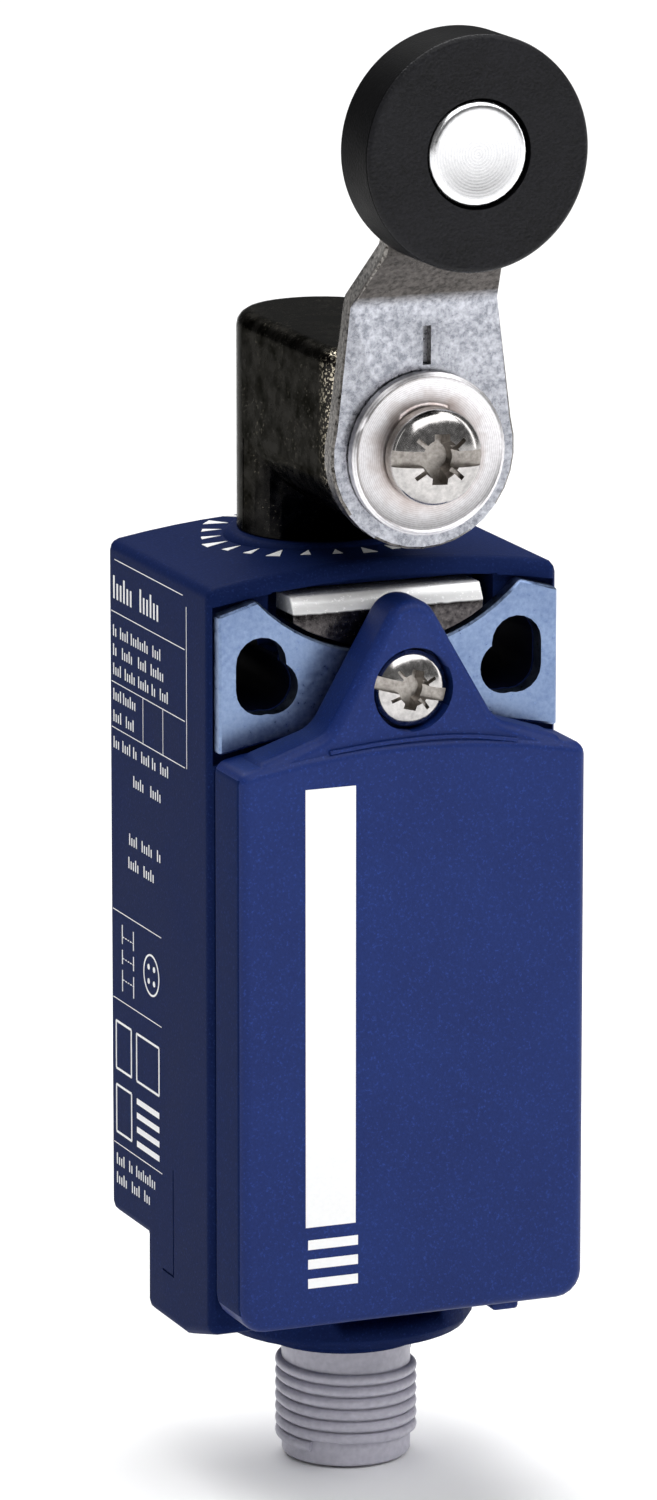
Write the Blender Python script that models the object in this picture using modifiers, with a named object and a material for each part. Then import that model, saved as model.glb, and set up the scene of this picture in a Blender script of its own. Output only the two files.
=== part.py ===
"""Compact roller-lever limit switch with an M12 plug, as separate parts.

Lengths in the named values are millimetres and MM turns them into metres.
+X is to the right, -Y is the front with the cover, +Z is up.
The origin is the middle of the rear mounting face, level with the fixing holes.
"""
import math

import bmesh
import bpy
from mathutils import Matrix, Vector

MM = 0.001
GAP = 0.3

# Housing
HALF_WIDTH = 15.05
TOP_CENTRE_Z = 8.4
TOP_SAG = 1.4
HOUSING_EDGE_RADIUS = 1.0
RIM_Y = -22.4
HEEL_Z = -49.5
HEEL_Y = -8.1
CHIN_Z = -55.7
WALL = 2.25
CAVITY_TOP_Z = -9.0
CAVITY_BOTTOM_Z = -48.0
CAVITY_BACK_Y = -2.5

# Fixing plate and its two keyhole openings
PLATE_Y = -23.4
PLATE_THICKNESS = 1.5
PLATE_HALF_WIDTH = 14.55
PLATE_TOP_Z = 6.05
PLATE_ARC_Z = 16.7
PLATE_ARC_RADIUS = 15.5
HOLE_RADIUS = 2.15
SLOT_X = 11.0
SLOT_HALF_STRAIGHT = 1.0
ROUND_X = 10.0
ROUND_Z = -1.0

# Cover
COVER_Y = -28.7
COVER_BACK_Y = -22.6
COVER_HALF_WIDTH = 14.9
COVER_CORNER_Z = -6.6
COVER_CENTRE_Z = -5.0
COVER_BOTTOM_Z = -52.5
COVER_WALL = 1.6
COVER_EDGE_RADIUS = 0.9
TONGUE_Y = -28.3
TONGUE_APEX_Z = 6.2
TONGUE_APEX_RADIUS = 2.3
TONGUE_FLANK_ANGLE = 30.0
TONGUE_FLARE_RADIUS = 3.0
TONGUE_FLARE_Z = -3.1
COVER_SCREW_Z = -1.0
COVER_SCREW_RADIUS = 3.1

# Rotary head
HEAD_Y = -9.3
HEAD_RADIUS = 6.85
HEAD_BASE_Z = 8.75
HEAD_TOP_Z = 26.4
HEAD_FRONT_Y = -27.5
HEAD_HALF_WIDTH = 6.9
HEAD_EDGE_RADIUS = 1.3
SNOUT_RADIUS = 7.2
SPIGOT_RADIUS = 5.6
SPIGOT_BOTTOM_Z = 2.6
SEAT_RADIUS = 6.0
SHAFT_Z = 18.5
SHAFT_RADIUS = 2.7
SHAFT_THREAD_RADIUS = 1.7
CAM_RADIUS = 4.0
CAM_FRONT_Y = -13.3
CAM_BACK_Y = -7.0
BUSHING_FRONT_Y = -25.4
BUSHING_BACK_Y = -15.8
BUSHING_BORE_RADIUS = 4.3
CAM_CHAMBER_RADIUS = 4.9
LIP_POCKET_RADIUS = 5.4
SPRING_BORE_RADIUS = 3.5
SPRING_BORE_TOP_Z = 12.2
RING_GROOVE_RADIUS = 4.0
RING_GROOVE_BOTTOM_Z = 4.7
RING_GROOVE_TOP_Z = 6.9

# Lever and roller
LEVER_Y = -30.2
LEVER_THICKNESS = 1.7
LEVER_RADIUS = 7.8
LEVER_NECK_HALF = 6.2
LEVER_TIP_HALF = 4.9
LEVER_BEND_Z = 30.4
LEVER_JOG = 4.2
LEVER_JOG_RISE = 4.6
LEVER_EDGE_RADIUS = 0.2
INDEX_SLIT_LEFT = -0.1
INDEX_SLIT_RIGHT = 0.6
INDEX_SLIT_BOTTOM_Z = 25.4
INDEX_SLIT_TOP_Z = 28.5
INDEX_SLIT_DEPTH = 0.8
WASHER_RADIUS = 6.5
ROLLER_Z = 43.6
ROLLER_RADIUS = 9.25
ROLLER_FRONT_Y = -40.9
ROLLER_WIDTH = 5.7
HUB_RADIUS = 4.1
HUB_DEPTH = 3.2
ROLLER_BORE_RADIUS = 2.9

# M12 connector
PLUG_Y = -14.4
PLUG_NECK_Z = -57.8
PLUG_TIP_Z = -67.7
THREAD_RADIUS = 5.85
THREAD_PITCH = 1.0
THREAD_TURNS = 7
PIN_CIRCLE = 2.5
PIN_RADIUS = 0.5

# Contact block
BLOCK_TOP_Z = -11.0
BLOCK_BOTTOM_Z = -36.0
BLOCK_FRONT_Y = -20.2
CHAMBER_TOP_Z = -14.0
CHAMBER_BOTTOM_Z = -33.0
CARRIER_TOP_Z = -14.4
CARRIER_BOTTOM_Z = -27.0
CARRIER_HALF_WIDTH = 2.4
UPPER_CONTACT_Z = -18.0
LOWER_CONTACT_Z = -24.0
CONTACT_GAP = 1.1
STRIP_HALF_THICKNESS = 0.4

# Plunger and springs
PLUNGER_TRAVEL = 3.0
PLUNGER_RADIUS = 1.5
PLUNGER_WAY_RADIUS = 1.9
PLUNGER_COLLAR_RADIUS = 3.1
PLUNGER_COLLAR_TOP_Z = 11.4
PLUNGER_COLLAR_BOTTOM_Z = 10.5
PLUNGER_TOP_Z = 13.7
PLUNGER_BOTTOM_Z = -14.1
PLUNGER_SPRING_RADIUS = 2.5
PLUNGER_SPRING_WIRE = 0.3
CONTACT_SPRING_RADIUS = 1.5
CONTACT_SPRING_WIRE = 0.25


# ---------------------------------------------------------------- helpers

def start_scene():
    for item in list(bpy.data.objects):
        bpy.data.objects.remove(item, do_unlink=True)
    collections = {}
    for name in ("limit_switch", "cutters"):
        collection = bpy.data.collections.new(name)
        bpy.context.scene.collection.children.link(collection)
        collections[name] = collection
    return collections


COLLECTIONS = start_scene()


def finish_material(name, colour, roughness, metallic):
    """A plain Principled finish, made once and shared."""
    if name in bpy.data.materials:
        return bpy.data.materials[name]
    material = bpy.data.materials.new(name)
    material.use_nodes = True
    shader = material.node_tree.nodes["Principled BSDF"]
    shader.inputs["Base Color"].default_value = (*colour, 1.0)
    shader.inputs["Roughness"].default_value = roughness
    shader.inputs["Metallic"].default_value = metallic
    return material


BLUE = finish_material("blue_plastic", (0.018, 0.03, 0.13), 0.45, 0.0)
NICKEL = finish_material("dark_nickel", (0.12, 0.105, 0.085), 0.3, 1.0)
ZINC = finish_material("zinc_plate", (0.55, 0.6, 0.68), 0.35, 1.0)
STEEL = finish_material("steel", (0.6, 0.6, 0.6), 0.25, 1.0)
BLACK = finish_material("black_plastic", (0.012, 0.012, 0.012), 0.4, 0.0)
GREY = finish_material("grey_plastic", (0.35, 0.35, 0.38), 0.45, 0.0)
RUBBER = finish_material("rubber", (0.02, 0.02, 0.02), 0.8, 0.0)
BRASS = finish_material("brass", (0.7, 0.5, 0.2), 0.3, 1.0)
CREAM = finish_material("cream_plastic", (0.6, 0.56, 0.45), 0.5, 0.0)


def new_object(name, mesh, material, kind="limit_switch"):
    item = bpy.data.objects.new(name, mesh)
    COLLECTIONS[kind].objects.link(item)
    mesh.materials.clear()
    mesh.materials.append(material)
    if kind == "cutters":
        item.hide_render = True
        item.display_type = "WIRE"
    return item


def from_bmesh(name, cage, material, kind="limit_switch"):
    mesh = bpy.data.meshes.new(name)
    bmesh.ops.recalc_face_normals(cage, faces=cage.faces)
    cage.to_mesh(mesh)
    cage.free()
    return new_object(name, mesh, material, kind)


def box(name, low, high, material=BLUE, kind="limit_switch"):
    """A box between two corners in millimetres."""
    low, high = Vector(low) * MM, Vector(high) * MM
    cage = bmesh.new()
    size = Matrix.Diagonal((*(high - low), 1.0))
    bmesh.ops.create_cube(cage, size=1.0, matrix=Matrix.Translation((low + high) / 2) @ size)
    return from_bmesh(name, cage, material, kind)


def rod(name, start, end, radius, material=STEEL, sides=32, kind="limit_switch"):
    """A round bar from one point to another in millimetres."""
    start, end = Vector(start) * MM, Vector(end) * MM
    along = end - start
    turn = along.to_track_quat("Z", "Y").to_matrix().to_4x4()
    cage = bmesh.new()
    bmesh.ops.create_cone(cage, cap_ends=True, segments=sides, radius1=radius * MM,
                          radius2=radius * MM, depth=along.length,
                          matrix=Matrix.Translation((start + end) / 2) @ turn)
    return from_bmesh(name, cage, material, kind)


def turned(name, profile, centre, axis, material, sides=32, kind="limit_switch"):
    """Turn (radius, height) points about an axis of +Z or -Y through the centre.

    A profile that starts and ends on the axis is a solid; one that returns to its
    first point is a ring.
    """
    mesh = bpy.data.meshes.new(name)
    points = [(radius * MM, 0.0, height * MM) for radius, height in profile]
    ring = profile[0] == profile[-1]
    if ring:
        points = points[:-1]
    count = len(points)
    edges = [(index, index + 1) for index in range(count - 1)]
    if ring:
        edges.append((count - 1, 0))
    mesh.from_pydata(points, edges, [])
    item = new_object(name, mesh, material, kind)
    screw = item.modifiers.new("turn", "SCREW")
    screw.axis = "Z"
    screw.steps = sides
    screw.render_steps = sides
    screw.use_merge_vertices = True
    screw.merge_threshold = 0.000001
    mesh = evaluated_mesh(item)
    if axis == "-Y":
        mesh.transform(Matrix.Rotation(math.pi / 2, 4, "X"))
    mesh.transform(Matrix.Translation(Vector(centre) * MM))
    item.modifiers.clear()
    item.data = mesh
    recalculate(item)
    return item


def evaluated_mesh(item):
    bpy.context.view_layer.update()
    graph = bpy.context.evaluated_depsgraph_get()
    return bpy.data.meshes.new_from_object(item.evaluated_get(graph))


def recalculate(item, weld=0.000001):
    cage = bmesh.new()
    cage.from_mesh(item.data)
    bmesh.ops.remove_doubles(cage, verts=cage.verts, dist=weld)
    bmesh.ops.recalc_face_normals(cage, faces=cage.faces)
    cage.to_mesh(item.data)
    cage.free()


def slab(name, outlines, near, far, plane, material, kind="limit_switch"):
    """Fill flat outlines, the first outside and the rest holes, and give them depth.

    plane "XZ" takes (x, z) points and spans y from near to far; "XY" takes (x, y)
    points and spans z; "YZ" takes (y, z) points and spans x.
    """
    curve = bpy.data.curves.new(name, "CURVE")
    curve.dimensions = "2D"
    curve.fill_mode = "BOTH"
    curve.extrude = abs(far - near) / 2 * MM
    for outline in outlines:
        spline = curve.splines.new("POLY")
        spline.points.add(len(outline) - 1)
        for point, (across, up) in zip(spline.points, outline):
            point.co = (across * MM, up * MM, 0.0, 1.0)
        spline.use_cyclic_u = True
    guide = bpy.data.objects.new(name + "_outline", curve)
    COLLECTIONS["cutters"].objects.link(guide)
    middle = (near + far) / 2 * MM
    if plane == "XZ":
        place = Matrix.Translation((0, middle, 0)) @ Matrix.Rotation(math.pi / 2, 4, "X")
    elif plane == "XY":
        place = Matrix.Translation((0, 0, middle))
    else:
        swap = Matrix(((0, 0, 1, 0), (1, 0, 0, 0), (0, 1, 0, 0), (0, 0, 0, 1)))
        place = Matrix.Translation((middle, 0, 0)) @ swap
    mesh = evaluated_mesh(guide)
    mesh.transform(place)
    bpy.data.objects.remove(guide, do_unlink=True)
    item = new_object(name, mesh, material, kind)
    recalculate(item)
    return item


def wire(name, points, radius, material, resolution=1):
    """A round wire along points in millimetres."""
    curve = bpy.data.curves.new(name, "CURVE")
    curve.dimensions = "3D"
    curve.bevel_depth = radius * MM
    curve.bevel_resolution = resolution
    curve.use_fill_caps = True
    spline = curve.splines.new("POLY")
    spline.points.add(len(points) - 1)
    for point, place in zip(spline.points, points):
        point.co = (*(Vector(place) * MM), 1.0)
    guide = bpy.data.objects.new(name + "_route", curve)
    COLLECTIONS["cutters"].objects.link(guide)
    mesh = evaluated_mesh(guide)
    bpy.data.objects.remove(guide, do_unlink=True)
    item = new_object(name, mesh, material)
    recalculate(item)
    return item


def combine(item, other, operation="DIFFERENCE"):
    """Cut or join a piece with another and use the other up."""
    boolean = item.modifiers.new("shape", "BOOLEAN")
    boolean.object = other
    boolean.operation = operation
    boolean.solver = "EXACT"
    mesh = evaluated_mesh(item)
    item.modifiers.clear()
    item.data = mesh
    bpy.data.objects.remove(other, do_unlink=True)


def merge_flat(item, angle=0.4):
    """Join the triangles of each flat face into one, so that its edges can be rounded."""
    cage = bmesh.new()
    cage.from_mesh(item.data)
    bmesh.ops.dissolve_limit(cage, angle_limit=math.radians(angle), verts=cage.verts, edges=cage.edges)
    cage.to_mesh(item.data)
    cage.free()


def soften(item, width, segments=2, angle=30):
    """Round the edges that turn by more than an angle."""
    merge_flat(item)
    bevel = item.modifiers.new("soften", "BEVEL")
    bevel.width = width * MM
    bevel.segments = segments
    bevel.limit_method = "ANGLE"
    bevel.angle_limit = math.radians(angle)
    bevel.harden_normals = False
    mesh = evaluated_mesh(item)
    item.modifiers.clear()
    item.data = mesh
    recalculate(item)


def arc(centre, radius, start, end, steps):
    """Points of an arc in degrees, both ends included."""
    turns = [math.radians(start + (end - start) * index / steps) for index in range(steps + 1)]
    return [(centre[0] + radius * math.cos(turn), centre[1] + radius * math.sin(turn))
            for turn in turns]


def circle(centre, radius, steps=32):
    return arc(centre, radius, 0, 360, steps)[:-1]


def mirrored(points):
    """The points, then their mirror image in x run back."""
    return points + [(-across, up) for across, up in reversed(points) if abs(across) > 1e-6]


def sagging(x, centre_z, edge_z, half_width):
    """Height of a shallow crown at x."""
    return centre_z + (edge_z - centre_z) * (x / half_width) ** 2


def set_pivot(item, pivot):
    """Move a piece's origin onto its joint's axis."""
    pivot = Vector(pivot) * MM
    item.data.transform(Matrix.Translation(-pivot))
    item.location = pivot


def shade(item):
    item.data.shade_smooth()
    item.data.set_sharp_from_angle(angle=math.radians(35))


# ---------------------------------------------------------------- housing

def keyhole_cutters(low_y, high_y, clearance=0.0):
    """A vertical slot joined to a round hole, on each side."""
    cutters = []
    for side in (-1, 1):
        slot = (arc((side * SLOT_X, SLOT_HALF_STRAIGHT), HOLE_RADIUS + clearance, 0, 180, 10)
                + arc((side * SLOT_X, -SLOT_HALF_STRAIGHT), HOLE_RADIUS + clearance, 180, 360, 10))
        cutter = slab("slot", [slot], low_y, high_y, "XZ", BLUE, "cutters")
        bore = rod("bore", (side * ROUND_X, low_y, ROUND_Z), (side * ROUND_X, high_y, ROUND_Z),
                   HOLE_RADIUS + clearance - 0.001, BLUE, 28, "cutters")
        combine(cutter, bore, "UNION")
        cutters.append(cutter)
    return cutters


def make_housing():
    side_profile = [(0.0, TOP_CENTRE_Z + 1), (0.0, HEEL_Z), (HEEL_Y, HEEL_Z), (HEEL_Y, CHIN_Z),
                    (-16.4, CHIN_Z), (RIM_Y, CHIN_Z + 1.55), (RIM_Y, TOP_CENTRE_Z + 1)]
    housing = slab("housing", [side_profile], -HALF_WIDTH, HALF_WIDTH, "YZ", BLUE)
    steps = 14
    xs = [HALF_WIDTH * 1.1 * (1 - 2 * index / steps) for index in range(steps + 1)]
    crown = [(x, sagging(x, TOP_CENTRE_Z, TOP_CENTRE_Z - TOP_SAG, HALF_WIDTH)) for x in xs]
    lid = [(HALF_WIDTH * 1.1, 12.0)] + crown + [(-HALF_WIDTH * 1.1, 12.0)]
    combine(housing, slab("lid", [lid], -30, 5, "XZ", BLUE, "cutters"))
    soften(housing, HOUSING_EDGE_RADIUS, 3)
    disc = turned("chin_disc", [(0, -54.0), (10.6, -54.0), (10.6, -55.6), (10.1, -56.4),
                                (7.0, -56.6), (7.0, -57.3), (6.6, PLUG_NECK_Z), (0, PLUG_NECK_Z)],
                  (0, PLUG_Y + 0.6, 0), "+Z", BLUE, 48, "cutters")
    combine(housing, disc, "UNION")
    inside = HALF_WIDTH - WALL
    combine(housing, box("cavity", (-inside, -30, CAVITY_BOTTOM_Z),
                         (inside, CAVITY_BACK_Y, CAVITY_TOP_Z), BLUE, "cutters"))
    pocket_z = PLATE_TOP_Z + 0.35
    combine(housing, box("plate_pocket", (-PLATE_HALF_WIDTH - 0.12, -30, -7.2),
                         (PLATE_HALF_WIDTH + 0.12, PLATE_Y + PLATE_THICKNESS + GAP, pocket_z - 1.0),
                         BLUE, "cutters"))
    steps = 10
    xs = [(PLATE_HALF_WIDTH + 0.12) * (1 - 2 * index / steps) for index in range(steps + 1)]
    roof = [(x, sagging(x, pocket_z + 0.6, pocket_z - 0.75, PLATE_HALF_WIDTH)) for x in xs]
    roof += [(-PLATE_HALF_WIDTH - 0.12, 0.0), (PLATE_HALF_WIDTH + 0.12, 0.0)]
    combine(housing, slab("roof", [roof], -30, PLATE_Y + PLATE_THICKNESS + GAP, "XZ", BLUE, "cutters"))
    combine(housing, box("lock_window", (-9.7, -30, 1.2), (9.7, -17.4, 6.5), BLUE, "cutters"))
    combine(housing, rod("head_seat", (0, HEAD_Y, 2.2), (0, HEAD_Y, 20), SEAT_RADIUS, BLUE, 48, "cutters"))
    combine(housing, rod("plunger_bore", (0, HEAD_Y, -20), (0, HEAD_Y, 5), 1.9, BLUE, 24, "cutters"))
    combine(housing, rod("screw_bore", (0, -30, COVER_SCREW_Z), (0, -17.0, COVER_SCREW_Z),
                         1.8, BLUE, 24, "cutters"))
    combine(housing, rod("plug_bore", (0, PLUG_Y, -70), (0, PLUG_Y, -40), 5.55, BLUE, 48, "cutters"))
    for cutter in keyhole_cutters(-30, 5):
        combine(housing, cutter)
    groove = slab("seal_groove", [seal_outline(14.3, 0.0), seal_outline(13.3, 1.0)],
                  RIM_Y - 1, RIM_Y + 1.0, "XZ", BLUE, "cutters")
    combine(housing, groove)
    return housing


def seal_outline(half_width, inset):
    """A rounded rectangle round the mouth of the housing."""
    top, bottom, radius = -7.5 - inset, -50.0 + inset, 1.5
    right = (arc((half_width - radius, top - radius), radius, 90, 0, 4)
             + arc((half_width - radius, bottom + radius), radius, 0, -90, 4))
    return right + [(-x, z) for x, z in reversed(right)]


def make_cover_seal():
    return slab("cover_seal", [seal_outline(14.1, 0.25), seal_outline(13.55, 0.8)],
                RIM_Y + 0.15, RIM_Y + 0.75, "XZ", RUBBER)


def make_plate():
    corner_x = PLATE_HALF_WIDTH
    start = math.degrees(math.asin((PLATE_TOP_Z - PLATE_ARC_Z) / PLATE_ARC_RADIUS))
    dip = arc((0, PLATE_ARC_Z), PLATE_ARC_RADIUS, start, -90, 9)
    half = [(corner_x, -6.15), (corner_x, 5.1)] + dip
    outline = half + [(-x, z) for x, z in reversed(half[:-1])]
    steps = 8
    xs = [-corner_x * (1 - 2 * index / steps) for index in range(1, steps)]
    outline += [(x, sagging(x, -4.55, -6.15, corner_x)) for x in xs]
    plate = slab("mounting_plate", [outline], PLATE_Y, PLATE_Y + PLATE_THICKNESS, "XZ", ZINC)
    soften(plate, 0.18, 1)
    for cutter in keyhole_cutters(-30, -10):
        combine(plate, cutter)
    combine(plate, rod("screw_hole", (0, -30, COVER_SCREW_Z), (0, -10, COVER_SCREW_Z),
                       1.8, ZINC, 24, "cutters"))
    return plate


def make_lock_bar():
    """The steel bar under the rim that holds the head in its seat."""
    radius = PLATE_ARC_RADIUS - 0.35
    half_width = 8.2
    start = -math.degrees(math.acos(half_width / radius))
    lower = arc((0, PLATE_ARC_Z), radius, start, -90, 6)
    right = [(half_width, 6.0)] + lower
    outline = right + [(-x, z) for x, z in reversed(right[:-1])]
    bar = slab("head_lock_bar", [outline], PLATE_Y + 0.2, -19.5, "XZ", STEEL)
    slope = [(PLATE_Y, 4.4), (-22.4, 6.1), (-24.0, 6.1), (-24.0, 4.4)]
    combine(bar, slab("top_chamfer", [slope], -10, 10, "YZ", STEEL, "cutters"))
    return bar


# ---------------------------------------------------------------- cover

def tongue_half():
    """Right half of the pointed tongue, from its apex to its flare on the cover."""
    flank = math.radians(TONGUE_FLANK_ANGLE)
    apex = (0.0, TONGUE_APEX_Z - TONGUE_APEX_RADIUS)
    tip = arc(apex, TONGUE_APEX_RADIUS, 90, TONGUE_FLANK_ANGLE, 5)
    start_x, start_z = tip[-1]
    flare_x = start_x + (start_z - TONGUE_FLARE_Z) * math.tan(flank)
    centre = (flare_x + TONGUE_FLARE_RADIUS * math.cos(flank),
              TONGUE_FLARE_Z + TONGUE_FLARE_RADIUS * math.sin(flank))
    flare = arc(centre, TONGUE_FLARE_RADIUS, 180 + TONGUE_FLANK_ANGLE, 258, 6)
    return tip + flare + [(13.2, -6.0), (13.2, -9.0)]


def cover_outline(inset=0.0, top_drop=0.0):
    edge = COVER_HALF_WIDTH - inset
    bottom = COVER_BOTTOM_Z + inset
    radius = 2.2 - inset / 2
    steps = 8
    xs = [edge * index / steps for index in range(steps + 1)]
    crown = [(x, sagging(x, COVER_CENTRE_Z, COVER_CORNER_Z, COVER_HALF_WIDTH) - top_drop) for x in xs]
    corner = arc((edge - radius, bottom + radius), radius, 0, -90, 5)
    return mirrored(crown + corner)


def make_cover():
    cover = slab("front_cover", [cover_outline()], COVER_Y, COVER_BACK_Y, "XZ", BLUE)
    soften(cover, COVER_EDGE_RADIUS, 4, 40)
    ramp = [(COVER_BACK_Y + 1, CHIN_Z - 3), (COVER_BACK_Y + 1, CHIN_Z + 0.7),
            (COVER_Y - 1, COVER_BOTTOM_Z - 0.5), (COVER_Y - 1, CHIN_Z - 3)]
    combine(cover, slab("ramp", [ramp], -20, 20, "YZ", BLUE, "cutters"))
    tongue = slab("tongue", [mirrored(tongue_half())], TONGUE_Y, PLATE_Y - GAP, "XZ", BLUE, "cutters")
    soften(tongue, COVER_EDGE_RADIUS, 4, 50)
    combine(cover, tongue, "UNION")
    hollow = slab("hollow", [cover_outline(COVER_WALL, 3.6)], COVER_Y + COVER_WALL, COVER_BACK_Y + 5,
                  "XZ", BLUE, "cutters")
    combine(cover, hollow)
    combine(cover, rod("counterbore", (0, -35, COVER_SCREW_Z), (0, -26.3, COVER_SCREW_Z),
                       COVER_SCREW_RADIUS + 0.3, BLUE, 40, "cutters"))
    combine(cover, rod("screw_hole", (0, -35, COVER_SCREW_Z), (0, -20, COVER_SCREW_Z),
                       1.8, BLUE, 24, "cutters"))
    return cover


def make_screw(name, tip, head_y, head_radius, head_height, shank_radius, x=0.0, z=0.0, material=STEEL,
               slot_width=1.3, slot_depth=0.9, sides=32):
    """A pan-head screw along Y whose head faces the front, with a slotted cross."""
    dome = [(head_radius * math.cos(math.radians(turn)),
             head_height * (0.55 + 0.45 * math.sin(math.radians(turn)))) for turn in (0, 30, 55, 75)]
    length = tip - head_y - head_height
    profile = [(0, head_height)] + list(reversed(dome)) + [(head_radius, 0), (shank_radius, 0),
                                                           (shank_radius, -length + 0.5),
                                                           (shank_radius - 0.4, -length), (0, -length)]
    screw = turned(name, profile, (x, head_y + head_height, z), "-Y", material, sides)
    low = (x - head_radius * 1.2, head_y - 1, z - slot_width / 2)
    high = (x + head_radius * 1.2, head_y + slot_depth, z + slot_width / 2)
    combine(screw, box("slot", low, high, material, "cutters"))
    return screw


# ---------------------------------------------------------------- head

def make_head():
    """A D-shaped casting with rounded edges, cut away below to a round neck and a half-round snout."""
    plan = arc((0, HEAD_Y), HEAD_HALF_WIDTH, 0, 180, 20)
    plan += [(-HEAD_HALF_WIDTH, HEAD_FRONT_Y), (HEAD_HALF_WIDTH, HEAD_FRONT_Y)]
    head = slab("head_casing", [plan], HEAD_BASE_Z - 2, HEAD_TOP_Z, "XY", NICKEL)
    soften(head, HEAD_EDGE_RADIUS, 4, 50)
    combine(head, box("below", (-10, -30, HEAD_BASE_Z - 4), (10, 0, HEAD_BASE_Z), NICKEL, "cutters"))
    angle = math.degrees(math.acos(HEAD_HALF_WIDTH / SNOUT_RADIUS))
    side = HEAD_HALF_WIDTH + 1.0
    below = [(side, SHAFT_Z)] + arc((0, SHAFT_Z), SNOUT_RADIUS, -angle, -90, 8)
    under = [(-side, HEAD_BASE_Z - 3), (side, HEAD_BASE_Z - 3)]
    waste = slab("waste", [mirrored(below) + under], HEAD_FRONT_Y - 1, HEAD_Y, "XZ", NICKEL, "cutters")
    combine(waste, rod("neck", (0, HEAD_Y, 0), (0, HEAD_Y, SHAFT_Z + 1), HEAD_RADIUS, NICKEL, 48, "cutters"))
    combine(head, waste)
    spigot = [(0, HEAD_BASE_Z + 3), (SPIGOT_RADIUS, HEAD_BASE_Z + 3), (SPIGOT_RADIUS, SPIGOT_BOTTOM_Z),
              (0, SPIGOT_BOTTOM_Z)]
    combine(head, turned("spigot", spigot, (0, HEAD_Y, 0), "+Z", NICKEL, 48, "cutters"), "UNION")
    bores = (("shaft_bore", -40, HEAD_Y, BUSHING_BORE_RADIUS),
             ("cam_chamber", CAM_FRONT_Y - 0.5, CAM_BACK_Y + 0.6, CAM_CHAMBER_RADIUS),
             ("lip_pocket", -40, BUSHING_FRONT_Y - 0.4, LIP_POCKET_RADIUS))
    for name, front, back, radius in bores:
        combine(head, rod(name, (0, front, SHAFT_Z), (0, back, SHAFT_Z), radius, NICKEL, 40, "cutters"))
    combine(head, rod("spring_bore", (0, HEAD_Y, 0), (0, HEAD_Y, SPRING_BORE_TOP_Z), SPRING_BORE_RADIUS,
                      NICKEL, 32, "cutters"))
    combine(head, rod("plunger_bore", (0, HEAD_Y, 0), (0, HEAD_Y, SHAFT_Z), PLUNGER_WAY_RADIUS,
                      NICKEL, 24, "cutters"))
    groove = [(RING_GROOVE_RADIUS, RING_GROOVE_BOTTOM_Z), (7, RING_GROOVE_BOTTOM_Z), (7, RING_GROOVE_TOP_Z),
              (RING_GROOVE_RADIUS, RING_GROOVE_TOP_Z), (RING_GROOVE_RADIUS, RING_GROOVE_BOTTOM_Z)]
    combine(head, turned("ring_groove", groove, (0, HEAD_Y, 0), "+Z", NICKEL, 48, "cutters"))
    return head


def torus(name, centre, axis, major, minor, material, sides=28):
    profile = circle((major, 0), minor, 8)
    return turned(name, profile + [profile[0]], centre, axis, material, sides)


def make_shaft():
    """A round shaft with a wider cam at its back and a threaded bore at its front."""
    front = LEVER_Y + 0.3
    profile = [(0, -front), (SHAFT_RADIUS - 0.3, -front), (SHAFT_RADIUS, -front - 0.3),
               (SHAFT_RADIUS, -CAM_FRONT_Y), (CAM_RADIUS, -CAM_FRONT_Y), (CAM_RADIUS, -CAM_BACK_Y),
               (0, -CAM_BACK_Y)]
    shaft = turned("lever_shaft", profile, (0, 0, SHAFT_Z), "-Y", STEEL, 40)
    combine(shaft, rod("thread_bore", (0, -35, SHAFT_Z), (0, -20, SHAFT_Z), SHAFT_THREAD_RADIUS, STEEL, 24,
                       "cutters"))
    return shaft


def make_bushing():
    inner, outer = SHAFT_RADIUS + GAP, BUSHING_BORE_RADIUS - GAP
    back, front = -BUSHING_BACK_Y, -BUSHING_FRONT_Y
    profile = [(inner, back), (outer, back), (outer, front), (inner, front), (inner, back)]
    return turned("shaft_bushing", profile, (0, 0, SHAFT_Z), "-Y", BRASS, 40)


# ---------------------------------------------------------------- lever

def make_lever():
    """A stamped steel strip: round foot on the shaft, tapered neck, jog, round tip."""
    side = [(LEVER_Y, SHAFT_Z - 12), (LEVER_Y, LEVER_BEND_Z),
            (LEVER_Y - LEVER_JOG, LEVER_BEND_Z + LEVER_JOG_RISE), (LEVER_Y - LEVER_JOG, ROLLER_Z + 10)]
    back = [(y + LEVER_THICKNESS, z + rise) for (y, z), rise in zip(reversed(side), (0, 0.8, 0.8, 0))]
    lever = slab("lever", [side + back], -12, 12, "YZ", STEEL)
    foot = math.degrees(math.asin(0.28))
    right = [(LEVER_TIP_HALF, LEVER_BEND_Z + LEVER_JOG_RISE + 1)]
    right += [(LEVER_NECK_HALF, LEVER_BEND_Z)]
    right += arc((0, SHAFT_Z), LEVER_RADIUS, foot, -90, 10)
    tip = arc((0, ROLLER_Z), LEVER_TIP_HALF + 0.6, 90, 0, 6)
    front_view = slab("front_view", [mirrored(tip + right)], -45, -20, "XZ", STEEL, "cutters")
    combine(lever, front_view, "INTERSECT")
    soften(lever, LEVER_EDGE_RADIUS, 1, 50)
    combine(lever, rod("shaft_hole", (0, -45, SHAFT_Z), (0, -20, SHAFT_Z), SHAFT_RADIUS + 0.3, STEEL, 32,
                       "cutters"))
    combine(lever, rod("pin_hole", (0, -45, ROLLER_Z), (0, -20, ROLLER_Z), 1.8, STEEL, 24, "cutters"))
    combine(lever, box("index_slit", (INDEX_SLIT_LEFT, LEVER_Y - 1, INDEX_SLIT_BOTTOM_Z),
                       (INDEX_SLIT_RIGHT, LEVER_Y + INDEX_SLIT_DEPTH, INDEX_SLIT_TOP_Z), STEEL, "cutters"))
    return lever


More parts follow.
